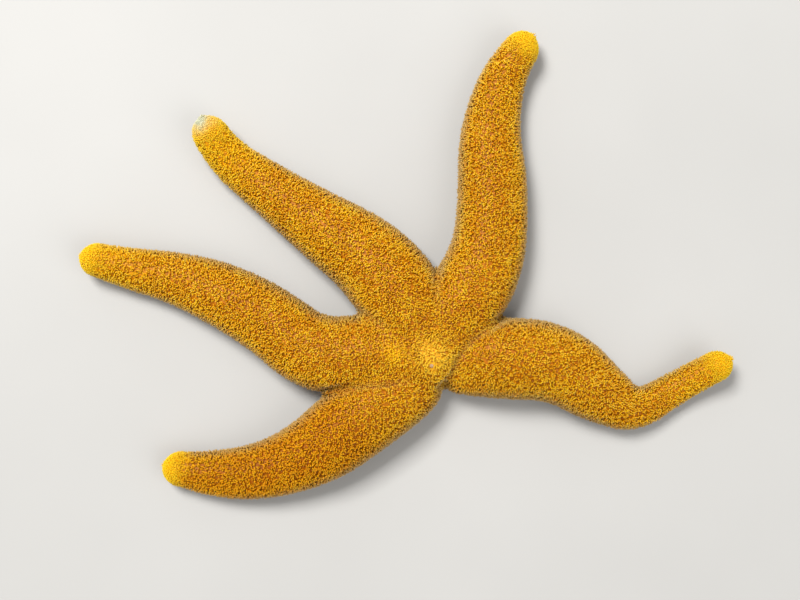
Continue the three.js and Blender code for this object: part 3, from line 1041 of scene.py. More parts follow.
    def places(self, k: Array, row: Array, column: Array) -> "Places":
        """Return the places at parts of rows and columns of the sleeves, read between four grid points.

        Args:
            k: Each place's arm.
            row: Its row, with a fraction.
            column: Its column, with a fraction.

        Returns:
            The places.
        """
        r = np.minimum(row.astype(int), self.grid.shape[1] - 2)
        c = column.astype(int) % len(self.across)
        u, v = row - r, (column - column.astype(int))
        d = (c + 1) % len(self.across)
        corners = ((r, c, (1 - u) * (1 - v)), (r, d, (1 - u) * v), (r + 1, c, u * (1 - v)), (r + 1, d, u * v))

        def read(values: Array) -> Array:
            """Return the mean of the four corners' values by nearness."""
            flat = [1] * (values.ndim - 3)
            return sum(values[k, i, j] * near.reshape(-1, *flat) for i, j, near in corners)

        share = (1 - u) * self.shares[k, r] + u * self.shares[k, r + 1]
        turn = (c + v) / len(self.across)
        return Places(
            points=read(self.grid),
            normals=unit(read(self.normals)),
            tipward=unit(self.grid[k, r + 1, c] - self.grid[k, r, c] + 1e-9),
            k=k,
            along=read(self.along),
            furrow=read(self.furrow),
            over=self.over[c] & self.over[d],
            uv=self.unwrap(k, share, turn),
        )

    def seat(self, at: tuple[float, float]) -> tuple[Array, Array]:
        """Find the point of the back nearest to a place seen from above.

        Args:
            at: The place's x and y.

        Returns:
            The point and its normal.
        """
        points, normals = (values[:, :, self.over].reshape(-1, 3) for values in (self.grid, self.normals))
        nearest = np.hypot(*(points[:, :2] - at).T).argmin()
        return points[nearest], normals[nearest]

    def surface(self, tones: dict[str, Array]) -> Surface:
        """Return the skin as one closed surface, with numbers for each grid point by name."""
        flat = {name: values.ravel() for name, values in tones.items()}
        return Surface(in_frame(self.grid.reshape(-1, 3)), self.triangles, self.corner_uv, flat).pruned()


@dataclass
class Places:
    """Places on the skin: their points, outward normals, the way to the tip, and where they lie."""

    points: Array
    normals: Array
    tipward: Array
    k: Array
    along: Array
    furrow: Array
    over: Array
    uv: Array

    @property
    def aside(self) -> Array:
        """The level unit vectors to the left of the ways to the tip."""
        return unit(np.cross(UP, self.tipward))

    def chosen(self, which: Array) -> "Places":
        """Return only the chosen places."""
        return Places(*(getattr(self, name)[which] for name in self.__dataclass_fields__))


# ---- places among places ----


@dataclass
class PointGrid:
    """Points sorted into cubes, so that the neighbours of many places are found together."""

    points: Array
    size: float

    def __post_init__(self) -> None:
        """Sort the points by the cube that each lies in."""
        self.low = self.points.min(axis=0)
        cubes = self._cubes(self.points)
        self.span = cubes.max(axis=0) + 3
        keys = self._keys(cubes)
        self.order = np.argsort(keys, kind="stable")
        runs = np.unique(keys[self.order], return_index=True, return_counts=True)
        self.keys, self.starts, self.counts = runs

    def _cubes(self, places: Array) -> Array:
        """Return the whole numbers of each place's cube."""
        return np.floor((places - self.low) / self.size).astype(np.int64) + 1

    def _keys(self, cubes: Array) -> Array:
        """Return one number for each cube."""
        return (cubes[:, 0] * self.span[1] + cubes[:, 1]) * self.span[2] + cubes[:, 2]

    def near(self, places: Array) -> Iterator[tuple[Array, Array]]:
        """Go through the points in the cubes round each place.

        Args:
            places: Where to look. Points nearer than the cubes' size are all gone through.

        Yields:
            Numbers of places, and for each of them the number of one point in the same or a next cube.
        """
        cubes = self._cubes(places)
        most = int(self.counts.max())
        for step in np.ndindex(3, 3, 3):
            keys = self._keys(cubes + np.array(step) - 1)
            slot = np.minimum(np.searchsorted(self.keys, keys), len(self.keys) - 1)
            rows = np.flatnonzero(self.keys[slot] == keys)
            for rank in range(most):
                rows = rows[self.counts[slot[rows]] > rank]
                if not len(rows):
                    break
                yield rows, self.order[self.starts[slot[rows]] + rank]


def spread_out(points: Array, gap: float, rng: np.random.Generator) -> Array:
    """Choose points so that no two are nearer than a gap, as evenly as chance allows.

    Each point has a random rank. In every round the undecided points that rank highest within the gap are
    kept, and those nearer than the gap to a kept one are dropped.

    Args:
        points: The points to choose from.
        gap: The least distance between two of them, in millimetres.
        rng: The source of random numbers.

    Returns:
        The numbers of the chosen points.
    """
    rank = rng.permutation(len(points))
    undecided = np.arange(len(points))
    kept = []
    while len(undecided):
        here = points[undecided]
        best = np.ones(len(here), bool)
        for rows, found in PointGrid(here, gap).near(here):
            close = ((here[rows] - here[found]) ** 2).sum(axis=1) < gap**2
            best[rows[close & (rank[undecided[rows]] < rank[undecided[found]])]] = False
        kept.append(undecided[best])
        gone = best.copy()
        chosen = here[best]
        for rows, found in PointGrid(chosen, gap).near(here):
            gone[rows[((here[rows] - chosen[found]) ** 2).sum(axis=1) < gap**2]] = True
        undecided = undecided[~gone]
    return np.sort(np.concatenate(kept))


def two_nearest(places: Array, points: Array, reach: float) -> tuple[Array, Array, Array]:
    """Find the nearest and second nearest of some points to each place.

    Args:
        places: Where to look.
        points: The points to find.
        reach: How far they are looked for. A point that isn't found counts as this far away.

    Returns:
        The distances to the nearest and to the second nearest, and the ways from the one to the other.
    """
    first, second = np.full(len(places), reach), np.full(len(places), reach)
    near, next_near = places.copy(), places + [0.0, 0.0, 1e-3]
    for rows, found in PointGrid(points, reach).near(places):
        point = points[found]
        away = np.linalg.norm(places[rows] - point, axis=1)
        nearer, between = away < first[rows], (away >= first[rows]) & (away < second[rows])
        kept = np.where(between[:, None], point, next_near[rows])
        next_near[rows] = np.where(nearer[:, None], near[rows], kept)
        second[rows] = np.where(nearer, first[rows], np.minimum(second[rows], away))
        near[rows] = np.where(nearer[:, None], point, near[rows])
        first[rows] = np.where(nearer, away, first[rows])
    return first, second, next_near - near


# ---- what grows on the skin ----


@dataclass(frozen=True)
class Patch:
    """A round yellow patch on the disc: its middle, seen from above, its radius and its strength."""

    at: tuple[float, float]
    radius: float
    strength: float

    def glow(self, points: Array, waver: Array) -> Array:
        """Return the strength at points: a bell over the distance, drawn out by quarters of the waver."""
        away = np.hypot(points[..., 0] - self.at[0], points[..., 1] - self.at[1])
        return self.strength * bell(away * (1.0 + 0.25 * waver), self.radius)


@dataclass(frozen=True)
class Markings:
    """The markings that skin and coat share.

    Yellow lies over the tips of the arms, fades out along them, more on some than on others, and lies in
    patches on the disc. One arm ends in a pale spot, and another is darkened to a deep orange by painted
    shade, where less light reaches it. The flanks are tan as a painted haze of spines seen side-on, the
    creases a darker tan as painted shade, the belly is paler, and the back turns from a light to a deep
    orange and back.
    """

    tip_length: float = 1.2
    tip_fade: float = 5.0
    golden: tuple[float, ...] = (0.15, 0.85, 0.5, 0.1, 0.35)
    # Painted shade: the fourth arm turns a deep orange along its outer part, where less light reaches it.
    painted_shade: tuple[float, ...] = (0.0, 0.0, 0.0, 1.0, 0.0)
    painted_shade_starts: float = 8.0
    dusk_ends: float = 24.0
    golden_reach: float = 20.0
    patches: tuple[Patch, ...] = (Patch((0.7, -0.7), 2.9, 1.3), Patch((-6.4, -0.3), 1.7, 0.9))
    pale: Patch = Patch((-42.9, 43.4), 1.8, 1.2)
    sieve: Patch = Patch((0.75, -2.5), 0.38, 1.0)
    # Painted haze: between these heights of the normal the flanks, where the spines are seen side-on, turn a
    # duller tan.
    flank_starts: float = 0.76
    flank_ends: float = 0.14
    belly: float = 0.2
    # Painted shade: the creases turn a darker tan with their depth.
    crease: float = 0.35
    paler_patch: float = 0.05
    yellow_over_tan: float = 0.75
    swell_strength: float = 0.45
    swell_contrast: float = 0.8

    def tones(self, body: Body, points: Array, normals: Array, k: Array, along: Array) -> dict[str, Array]:
        """Return how yellow, pale, tan and deep orange places are, each from 0 to 1.

        The yellow of a tip fades over a few millimetres behind it. That of a patch falls off as a bell, as
        the pale spot does. Their edges waver with sine waves across the back. Tan grows as a painted haze as
        the skin turns from the back to the flank, and as painted shade with the depth of a crease. The deep
        orange follows the product of two slow sines, and painted shade eases in along the fourth arm.

        Args:
            body: The body.
            points: The places.
            normals: Their outward normals.
            k: Their arms.
            along: Their distances along the arms.

        Returns:
            The tones by name.
        """
        x, y = points[..., 0], points[..., 1]
        waver = 0.35 * np.sin(1.9 * x + 0.7 * y) + 0.3 * np.sin(2.3 * y - 1.1 * x + 1.0)
        left, on_back = body.left(k, along), body.on_back(points)
        yellow = 1.0 - ease((left + waver - self.tip_length) / self.tip_fade)
        yellow = np.maximum(yellow, np.array(self.golden)[k] * (1.0 - ease(left / self.golden_reach)))
        glows = [patch.glow(points, waver) for patch in self.patches]
        yellow = np.maximum(yellow, np.max(glows, axis=0) * on_back)
        # Painted haze on the flanks, and painted shade in the creases.
        flank = ease((self.flank_starts - normals[..., 2]) / (self.flank_starts - self.flank_ends))
        tan = np.maximum(flank * (1.0 - self.yellow_over_tan * yellow), self.crease * body.creased(points))
        spot = np.minimum(self.pale.glow(points, waver), 1.0)
        pale = np.maximum(spot, self.belly * ease(-normals[..., 2]))
        pale = np.maximum(pale, self.paler_patch * glows[0] * on_back)
        swell = np.sin(0.5 * x + 0.8 * y + np.sin(0.35 * y)) * np.sin(0.75 * x - 0.4 * y + 1.3)
        # Painted shade eases in along the fourth arm, over the slow swells of the coat's own colour.
        painted_shade_along = ease((along - self.painted_shade_starts) / (self.dusk_ends - self.painted_shade_starts))
        swells = self.swell_strength * ease(0.5 + self.swell_contrast * swell)
        deep = np.maximum(swells, np.array(self.painted_shade)[k] * painted_shade_along)
        return {"yellow": np.clip(yellow, 0.0, 1.0), "pale": pale, "tan": tan, "deep": deep}


class Stretch(Enum):
    """The two lengths of an arm that carry a coat piece each: where they start and end, in millimetres."""

    INNER = (-100.0, 23.0)
    OUTER = (23.0, 100.0)

    def holds(self, along: Array) -> Array:
        """Return which distances along an arm lie in this length."""
        start, end = self.value
        return (along >= start) & (along < end)


def plain_tones(tint: Array, yellow: float, pale: float) -> dict[str, Array]:
    """Return the tones of tan spines, with one share of yellow and one of pale for all of them."""
    shares = {"yellow": yellow, "pale": pale, "tan": 1.0, "deep": 0.0}
    return {"tint": tint, **{name: np.full(len(tint), share) for name, share in shares.items()}}


@dataclass
class SpineCoat:
    """The coat: short blunt spines in splayed tufts, which stand in a net round the pits of the skin."""

    skin: Skin
    markings: Markings
    rng: np.random.Generator
    pit_density: float = 9.0
    pit_gap: float = 0.92
    bare_tip: float = 4.0
    tuft_density: float = 26.0
    net_width: float = 0.25
    wide_net: float = 0.58
    tuft_gap: float = 0.41
    tip_tuft_gap: float = 0.28
    tip_reach: float = 5.0
    furrow_starts: float = 0.02
    furrow_fade: float = 0.1
    plate_gap: float = 0.1
    tuft_radius: float = 0.13
    spines_above: int = 5
    spines_below: int = 4
    below: float = -0.35
    flattening: float = 0.5
    sunk: float = 0.06
    lean: float = 30.0
    outer_lean: float = 32.0
    lean_spread: float = 8.0
    way_spread: float = 0.08
    parting: float = 0.9
    parting_starts: float = 1.6
    parting_reach: float = 3.4
    parted_growth: float = 0.3
    length: float = 0.86
    tip_length: float = 0.48
    small_reach: float = 8.0
    shortened: float = 0.3
    radius: float = 0.118
    tip_radius: float = 0.75
    thin_reach: float = 7.0
    bend: float = 0.1
    profile: Profile = Profile((0.0, 0.72), (0.8, 1.0), 3)

    def __post_init__(self) -> None:
        """Lay out the pits, then the tufts of the net between them."""
        skin, rng = self.skin, self.rng
        open_skin = 1.0 - ease((skin.furrow - self.furrow_starts) / self.furrow_fade)
        left = skin.body.left(np.arange(ARM_COUNT)[:, None, None], skin.along)
        candidates = skin.scatter(self.pit_density * open_skin * (left > self.bare_tip), rng)
        self.pits = candidates.chosen(spread_out(candidates.points, self.pit_gap, rng))
        candidates = skin.scatter(self.tuft_density * open_skin, rng)
        near, next_near, between = two_nearest(candidates.points, self.pits.points, 2.0 * self.pit_gap)
        on_net = (next_near - near < self.net_width) | (near > self.wide_net * self.pit_gap)
        sieve = self.markings.sieve
        off_plate = np.hypot(*(candidates.points[:, :2] - sieve.at).T) > sieve.radius + self.plate_gap
        at_tip = skin.body.left(candidates.k, candidates.along) < self.tip_reach
        chosen = []
        for here, gap in ((at_tip, self.tip_tuft_gap), (~at_tip, self.tuft_gap)):
            free = np.flatnonzero(on_net & here & (off_plate | (candidates.normals[:, 2] < 0)))
            chosen.append(free[spread_out(candidates.points[free], gap, rng)])
        chosen = np.concatenate(chosen)
        self.tufts = candidates.chosen(chosen)
        self.strands = unit(np.cross(self.tufts.normals, between[chosen]))
        LOG.info("pits: %d, tufts: %d", len(self.pits.k), len(self.tufts.k))

    def spines(self) -> tuple[Rods, Places]:
        """Work out all spines of the coat.

        A tuft's spines stand on a sunflower spiral round its middle and lean away from it, the outer ones
        more, and much more along the strand of the net than across it, so that the pits stay open. On the
        first yellow patch they also lean away from its middle and are longer. They are shorter at the tips,
        in the creases and on the pale spot.

        Returns:
            The spines, and the tuft's place for each of them.
        """
        rng, body = self.rng, self.skin.body
        number = np.where(self.tufts.normals[:, 2] > self.below, self.spines_above, self.spines_below)
        tuft = np.repeat(np.arange(len(number)), number)
        rank = np.arange(len(tuft)) - np.repeat(np.cumsum(number) - number, number)
        place, count = self.tufts.chosen(tuft), len(tuft)
        outward = np.sqrt((rank + 0.4) / number[tuft])
        turn = GOLDEN_ANGLE * rank + (2 * np.pi * rng.random(len(number)))[tuft] + rng.normal(0, 0.3, count)
        first = self.strands[tuft]
        second = self.flattening * np.cross(place.normals, first)
        away = first * np.cos(turn)[:, None] + second * np.sin(turn)[:, None]
        roots = place.points + away * (self.tuft_radius * outward)[:, None] - place.normals * self.sunk
        splay = (self.lean + self.outer_lean * outward) * np.linalg.norm(away, axis=1)
        lean = np.radians(splay + rng.normal(0, self.lean_spread, count))
        radial, parted = self._parting(roots, place)
        ways = place.normals * np.cos(lean)[:, None] + unit(away) * np.sin(lean)[:, None]
        ways = unit(ways + radial * parted[:, None] + rng.normal(0, self.way_spread, ways.shape))
        tones = self.markings.tones(body, place.points, place.normals, place.k, place.along)
        left = body.left(place.k, place.along)
        grown = (1 + self.parted_growth * parted) * rng.uniform(0.82, 1.12, count)
        tint = np.clip(0.6 * rng.random(len(number))[tuft] + 0.4 * rng.random(count), 0, 1)
        thin = mix(self.tip_radius, 1.0, ease(left / self.thin_reach))
        rods = Rods(
            roots=roots,
            ways=ways,
            lengths=self.length * self._size(left, place, tones["pale"]) * grown,
            radii=self.radius * rng.uniform(0.85, 1.15, count) * thin,
            bends=place.normals * (self.bend * self.length * rng.random(count))[:, None],
            places=place.uv,
            tones={"tint": tint, **tones},
        )
        return rods, place

    def _parting(self, roots: Array, place: Places) -> tuple[Array, Array]:
        """Work out how spines part round the middle of the first yellow patch.

        Args:
            roots: The spines' roots.
            place: The places of their tufts.

        Returns:
            The level ways from the patch's middle, and how much the spines lean along them: a bell over the
            distance, lowered at the very middle.
        """
        middle = np.array([*self.markings.patches[0].at, 0.0])
        radial = (roots - middle) * (1.0 - UP)
        reach = np.linalg.norm(radial, axis=1)
        parted = self.parting * bell(reach, self.parting_reach) * ease(reach / self.parting_starts)
        return unit(radial), parted * (place.normals[:, 2] > 0.3)

    def _size(self, left: Array, place: Places, pale: Array) -> Array:
        """Return how long spines are, as a share of the full length.

        Args:
            left: How far it is to the arm's tip.
            place: The places of their tufts.
            pale: How pale they are.

        Returns:
            The shares, from 0 to 1.
        """
        near_tip = mix(self.tip_length, 1.0, ease(left / self.small_reach))
        on_pale = 1 - self.shortened * pale * (place.normals[:, 2] > 0)
        return near_tip * on_pale * (1.0 - self.shortened * self.skin.body.creased(place.points))

    def build(self, material: bpy.types.Material) -> list[bpy.types.Object]:
        """Make the coat's pieces, two for each arm.

        Args:
            material: The spines' finish.

        Returns:
            The new objects.
        """
        rods, place = self.spines()
        pieces = []
        for k in range(ARM_COUNT):
            for stretch in Stretch:
                chosen = (place.k == k) & stretch.holds(place.along)
                name = f"coat_{k + 1}_{stretch.name.lower()}"
                surface = rods.chosen(chosen).surface(self.profile)
                pieces.append(surface.build(name, material, "skin"))
        return pieces


@dataclass
class Papulae:
    """The soft gills: one small blunt finger in each pit of the back."""

    pits: Places
    rng: np.random.Generator
    below: float = -0.25
    height: float = 0.25
    radius: float = 0.14
    sunk: float = 0.05
    profile: Profile = Profile((0.0, 0.7), (0.85, 1.0), 5)

    def build(self, material: bpy.types.Material) -> bpy.types.Object:
        """Make the gills of the back as one piece.

        Args:
            material: Their finish.

        Returns:
            The new object.
        """
        place = self.pits.chosen(self.pits.normals[:, 2] > self.below)
        count = len(place.k)
        rods = Rods(
            roots=place.points - place.normals * self.sunk,
            ways=unit(place.normals + self.rng.normal(0, 0.15, (count, 3))),
            lengths=self.height * self.rng.uniform(0.7, 1.25, count),
            radii=self.radius * self.rng.uniform(0.8, 1.15, count),
            places=place.uv,
            tones={"tint": self.rng.random(count)},
        )
        return rods.surface(self.profile).build("papulae", material, "skin")


@dataclass
class FurrowGrowth:
    """What fills the furrows under the arms: two rows of tube feet, and spines along both edges."""

    skin: Skin
    rng: np.random.Generator
    foot_pitch: float = 0.95
    foot_radius: float = 0.27
    foot_across: float = 0.055
    foot_reach: float = 0.45
    foot_lean: float = 0.16
    foot_profile: Profile = Profile((0.0, 0.25, 0.6, 0.82, 0.9, 0.97), (1.0, 0.85, 0.7, 0.75, 1.25, 1.1), 8)
    spine_pitch: float = 0.42
    spine_length: float = 0.95
    spine_radius: float = 0.11
    spine_across: tuple[float, ...] = (-0.27, -0.21, 0.21, 0.27)
    spine_sunk: float = 0.06
    spine_profile: Profile = Profile((0.0, 0.5, 0.85), (1.0, 0.95, 0.8), 5)
    starts: float = 3.4
    tip_gap: float = 2.4
    small_reach: float = 20.0

    def _under(self, k: int, along: Array, across: Array) -> Places:
        """Return places on the belly of arm k.

        Args:
            k: The arm.
            along: How far along it each place lies.
            across: How far across it, from -1 to 1.

        Returns:
            The places.
        """
        skin = self.skin
        row = np.interp(along / skin.body.arms[k].length, skin.shares[k], np.arange(skin.shares.shape[1]))
        belly = np.arange(skin.back_columns, len(skin.across) + 1)
        shares = -np.append(skin.across, -1.0)[belly]
        column = np.interp(-across, shares, belly)
        return skin.places(np.full(len(row), k), np.minimum(row, skin.shares.shape[1] - 1.001), column)

    def _rows(self, pitch: float, across: Sequence[float], jitter: float) -> tuple[Places, Array]:
        """Return the places of rows under all arms, and how far across each one lies.

        Args:
            pitch: The distance between places of a row.
            across: How far across each row runs. Every second row is shifted by half the pitch.
            jitter: How far places stray along the row.

        Returns:
            The places, and their shares across the arm.
        """
        found, shares = [], []
        for k, arm in enumerate(self.skin.body.arms):
            for row, share in enumerate(across):
                along = np.arange(self.starts + 0.5 * pitch * (row % 2), arm.length - self.tip_gap, pitch)
                along = along + self.rng.uniform(-jitter, jitter, len(along))
                found.append(self._under(k, along, np.full(len(along), share)))
                shares.append(np.full(len(along), share))
        names = Places.__dataclass_fields__
        joined = Places(*(np.concatenate([getattr(places, name) for places in found]) for name in names))
        return joined, np.concatenate(shares)

    def tube_feet(self, material: bpy.types.Material) -> bpy.types.Object:
        """Make the tube feet: soft stalks from the furrow's roof to its mouth, each with a wider end.

        Args:
            material: Their finish.

        Returns:
            The new object.
        """
        body = self.skin.body
        place, across = self._rows(self.foot_pitch, (-self.foot_across, self.foot_across), 0.1)
        count = len(across)
        outward = place.aside * np.sign(across)[:, None]
        halves = [arm.at(place.along[place.k == k]).half_width for k, arm in enumerate(body.arms)]
        deep = body.furrow_depth * np.concatenate(halves)
        small = mix(0.5, 1.0, ease(body.left(place.k, place.along) / self.small_reach))
        ways = unit(self.foot_lean * outward - UP + self.rng.normal(0, 0.07, (count, 3)))
        rods = Rods(
            roots=place.points + 0.1 * UP,
            ways=ways,
            lengths=np.minimum(deep + self.foot_reach, place.points[:, 2] - 0.1),
            radii=self.foot_radius * small,
            bends=place.tipward * self.rng.normal(0, 0.12, count)[:, None],
            places=place.uv,
            tones={"tint": self.rng.random(count)},
        )
        return rods.surface(self.foot_profile).build("tube_feet", material, "skin")

    def edge_spines(self, material: bpy.types.Material) -> bpy.types.Object:
        """Make the furrow's spines: rows along both edges, the inner ones leaning over the furrow.

        Args:
            material: Their finish.

        Returns:
            The new object.
        """
        place, across = self._rows(self.spine_pitch, self.spine_across, 0.08)
        count = len(across)
        inward = np.where(np.abs(across) < np.abs(self.spine_across).mean(), 1.0, -0.9)
        aside = place.aside * (np.sign(across) * -inward)[:, None]
        tilt = 0.9 + self.rng.normal(0, 0.15, count)
        ways = unit(aside * tilt[:, None] - UP + self.rng.normal(0, 0.1, (count, 3)))
        left = self.skin.body.left(place.k, place.along)
        size = mix(0.6, 1.0, ease(left / self.small_reach))
        rods = Rods(
            roots=place.points - place.normals * self.spine_sunk,
            ways=ways,
            lengths=self.spine_length * size * self.rng.uniform(0.85, 1.1, count),
            radii=self.spine_radius * size,
            places=place.uv,
            tones=plain_tones(self.rng.random(count), 0.2, 0.3),
        )
        return rods.surface(self.spine_profile).build("furrow_spines", material, "skin")


def shell(grid: Array) -> Surface:
    """Return the closed surface of a grid whose rows run from pole to pole and whose columns close round.

    Args:
        grid: Points of shape rows by columns by 3. All points of the first row lie together, as do all of
            the last.

    Returns:
        The surface, with one point at each pole.
    """
    rows, columns = grid.shape[:2]
    own = np.arange(rows * columns).reshape(rows, columns)
    own[0], own[-1] = own[0, 0], own[-1, 0]
    place = np.meshgrid(np.linspace(0, 1, rows), np.arange(columns + 1) / columns, indexing="ij")
    return Surface(grid.reshape(-1, 3), *net(own, np.stack(place, axis=-1))).pruned()


def ball_angles(rows: int, columns: int) -> tuple[Array, Array]:
    """Lay a grid round a ball.

    Args:
        rows: The number of rows from pole to pole.
        columns: The number of columns round it.

    Returns:
        Each grid point's slope from the upper pole, and its turn round the axis.
    """
    slopes, turns = np.linspace(0, np.pi, rows), np.arange(columns) * 2 * np.pi / columns
    slope, turn = np.meshgrid(slopes, turns, indexing="ij")
    return slope, turn


def joined(surfaces: Sequence[Surface]) -> Surface:
    """Join surfaces.

    Args:
        surfaces: The surfaces, which all carry the same tones.

    Returns:
        All of them as one surface.
    """
    starts = np.cumsum([0] + [len(one.points) for one in surfaces[:-1]])
    return Surface(
        np.concatenate([one.points for one in surfaces]),
        np.concatenate([one.triangles + start for one, start in zip(surfaces, starts)]),
        np.concatenate([one.corner_uv for one in surfaces]),
        {name: np.concatenate([one.tones[name] for one in surfaces]) for name in surfaces[0].tones},
    )


@dataclass
class Madreporite:
    """The sieve plate: a low dome on the disc with branching grooves, which lets water in."""

    skin: Skin
    place: Patch
    height: float = 0.28
    sunk: float = 0.3
    grooves: int = 16
    groove_depth: float = 0.06
    rows: int = 36
    columns: int = 160

    def build(self, material: bpy.types.Material) -> bpy.types.Object:
        """Make the plate, seated square on the skin, in the stead of its solid.

        It is a low half ellipsoid over a sunken one. Its height is lowered by the square of a cosine that
        goes round it a set number of times, bent to and fro by a sine of the distance from the middle.

        Args:
            material: Its finish.

        Returns:
            The new object.
        """
        middle, facing = self.skin.seat(self.place.at)
        slope, turn = ball_angles(self.rows, self.columns)
        out = np.sin(slope)
        wave = np.cos(0.5 * self.grooves * turn + 1.6 * np.sin(5 * out) + 0.6 * np.sin(3 * turn)) ** 2
        grooved = np.where(np.cos(slope) > 0, self.groove_depth * wave * ease(out / 0.35), 0.0)
        rise = np.where(np.cos(slope) > 0, self.height, self.sunk) * np.cos(slope) - grooved
        first, second = frames(facing[None])
        aside = self.place.radius * out
        parts = ((aside * np.cos(turn), first), (aside * np.sin(turn), second), (rise, facing))
        points = middle + sum(length[..., None] * way for length, way in parts)
        piece = shell(in_frame(points)).build("madreporite_plate", material, "plate")
        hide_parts("madreporite")
        return piece


@dataclass
class Jaws:
    """The mouth's five jaws: rounded wedges that point to its middle, each with a comb of blunt spines."""

    body: Body
    rng: np.random.Generator
    spines: int = 4
    spine_length: float = 0.75
    spine_radius: float = 0.1
    spine_profile: Profile = Profile((0.0, 0.4, 0.8), (1.0, 1.0, 0.85), 8)
    inner: float = 0.6
    outer: float = 1.9
    half_width: float = 0.42
    bottom: float = 0.3
    height: float = 0.9
    squareness: float = 0.75
    narrowing: float = 0.22
    rows: int = 20
    columns: int = 28

    def build(self, material: bpy.types.Material) -> bpy.types.Object:
        """Make the jaws in the places of their solids.

        A jaw is an ellipsoid with its sides squared a little, narrower towards the mouth's middle.

        Args:
            material: Their finish.

        Returns:
            The new object.
        """
        slope, turn = ball_angles(self.rows, self.columns)

        def squared(x: Array) -> Array:
            """Return x with its size raised to a power below one."""
            return np.sign(x) * np.abs(x) ** self.squareness

        long, wide = (squared(np.sin(slope)) * squared(way(turn)) for way in (np.cos, np.sin))
        reach = (self.inner + self.outer) / 2 + long * (self.outer - self.inner) / 2
        aside = wide * self.half_width * (1 - self.narrowing + self.narrowing * long)
        z = self.bottom + self.height / 2 * (1 + squared(np.cos(slope)))
        pieces = []
        for facing in self._facing():
            x = reach * np.cos(facing) - aside * np.sin(facing)
            y = reach * np.sin(facing) + aside * np.cos(facing)
            pieces.append(shell(in_frame(np.stack([x, y, z], axis=-1))))
        piece = joined(pieces).build("jaws", material, "plate")
        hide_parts(*(f"jaw_{k}" for k in range(1, ARM_COUNT + 1)))
        return piece

    def _facing(self) -> Array:
        """Return the headings of the jaws from the mouth's middle: those of the corners between the arms."""
        return np.array([np.arctan2(corner.at[1], corner.at[0]) for corner in self.body.corners])

    def comb(self, material: bpy.types.Material) -> bpy.types.Object:
        """Make the jaws' spines: a row along both edges of each jaw, which lean in over the mouth.

        Args:
            material: Their finish.

        Returns:
            The new object.
        """
        share = (np.arange(self.spines) + 0.5) / self.spines
        grids = np.meshgrid(self._facing(), share, (-1.0, 1.0), indexing="ij")
        turn, along, side = (grid.ravel() for grid in grids)
        inward = -np.column_stack([np.cos(turn), np.sin(turn), np.zeros_like(turn)])
        aside = np.column_stack([inward[:, 1], -inward[:, 0], inward[:, 2]]) * side[:, None]
        count = len(turn)
        reach = mix(self.inner + 0.1, self.outer, along)[:, None]
        height = UP * (self.bottom + 0.35 * self.height)
        rods = Rods(
            roots=aside * (0.6 * self.half_width) - inward * reach + height,
            ways=unit(0.8 * inward + 0.45 * aside - 0.35 * UP + self.rng.normal(0, 0.06, (count, 3))),
            lengths=self.spine_length * mix(1.0, 0.75, along),
            radii=np.full(count, self.spine_radius),
            places=np.column_stack([0.01 + 0.02 * along, (turn / (2 * np.pi)) % 1.0]),
            tones=plain_tones(self.rng.random(count), 0.0, 0.45),
        )
        return rods.surface(self.spine_profile).build("jaw_spines", material, "skin")


@dataclass
class Eyespots:
    """The eyespots: a small red bead of many lenses at the end of each arm."""

    lenses: int = 9
    relief: float = 0.03
    share: float = 0.5
    rows: int = 37
    columns: int = 72

    def build(self, material: bpy.types.Material) -> bpy.types.Object:
        """Make the beads in the places of their solids.

        A bead is a sphere, smaller than its solid, whose radius rises and falls with sines of its two angles.

        Args:
            material: Their finish.

        Returns:
            The new object.
        """
        slope, turn = ball_angles(self.rows, self.columns)
        bumps = self.relief * np.sin(self.lenses * slope) * np.sin(self.lenses * turn) * np.sin(slope)
        pieces = []
        out = np.sin(slope)
        round_it = np.stack([out * np.cos(turn), out * np.sin(turn), np.cos(slope)], axis=-1)
        solids = [f"arm_{k}_eyespot" for k in range(1, ARM_COUNT + 1)]
        for solid in solids:
            low, high = (np.array(corner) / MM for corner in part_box(solid))
            radius = self.share * (high - low).mean() / 2 * (1 + bumps)
            pieces.append(shell((low + high) / 2 + round_it * radius[..., None]))
        piece = joined(pieces).build("eyespots", material, "eyespot")
        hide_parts(*solids)
        return piece


# ---- finishes ----


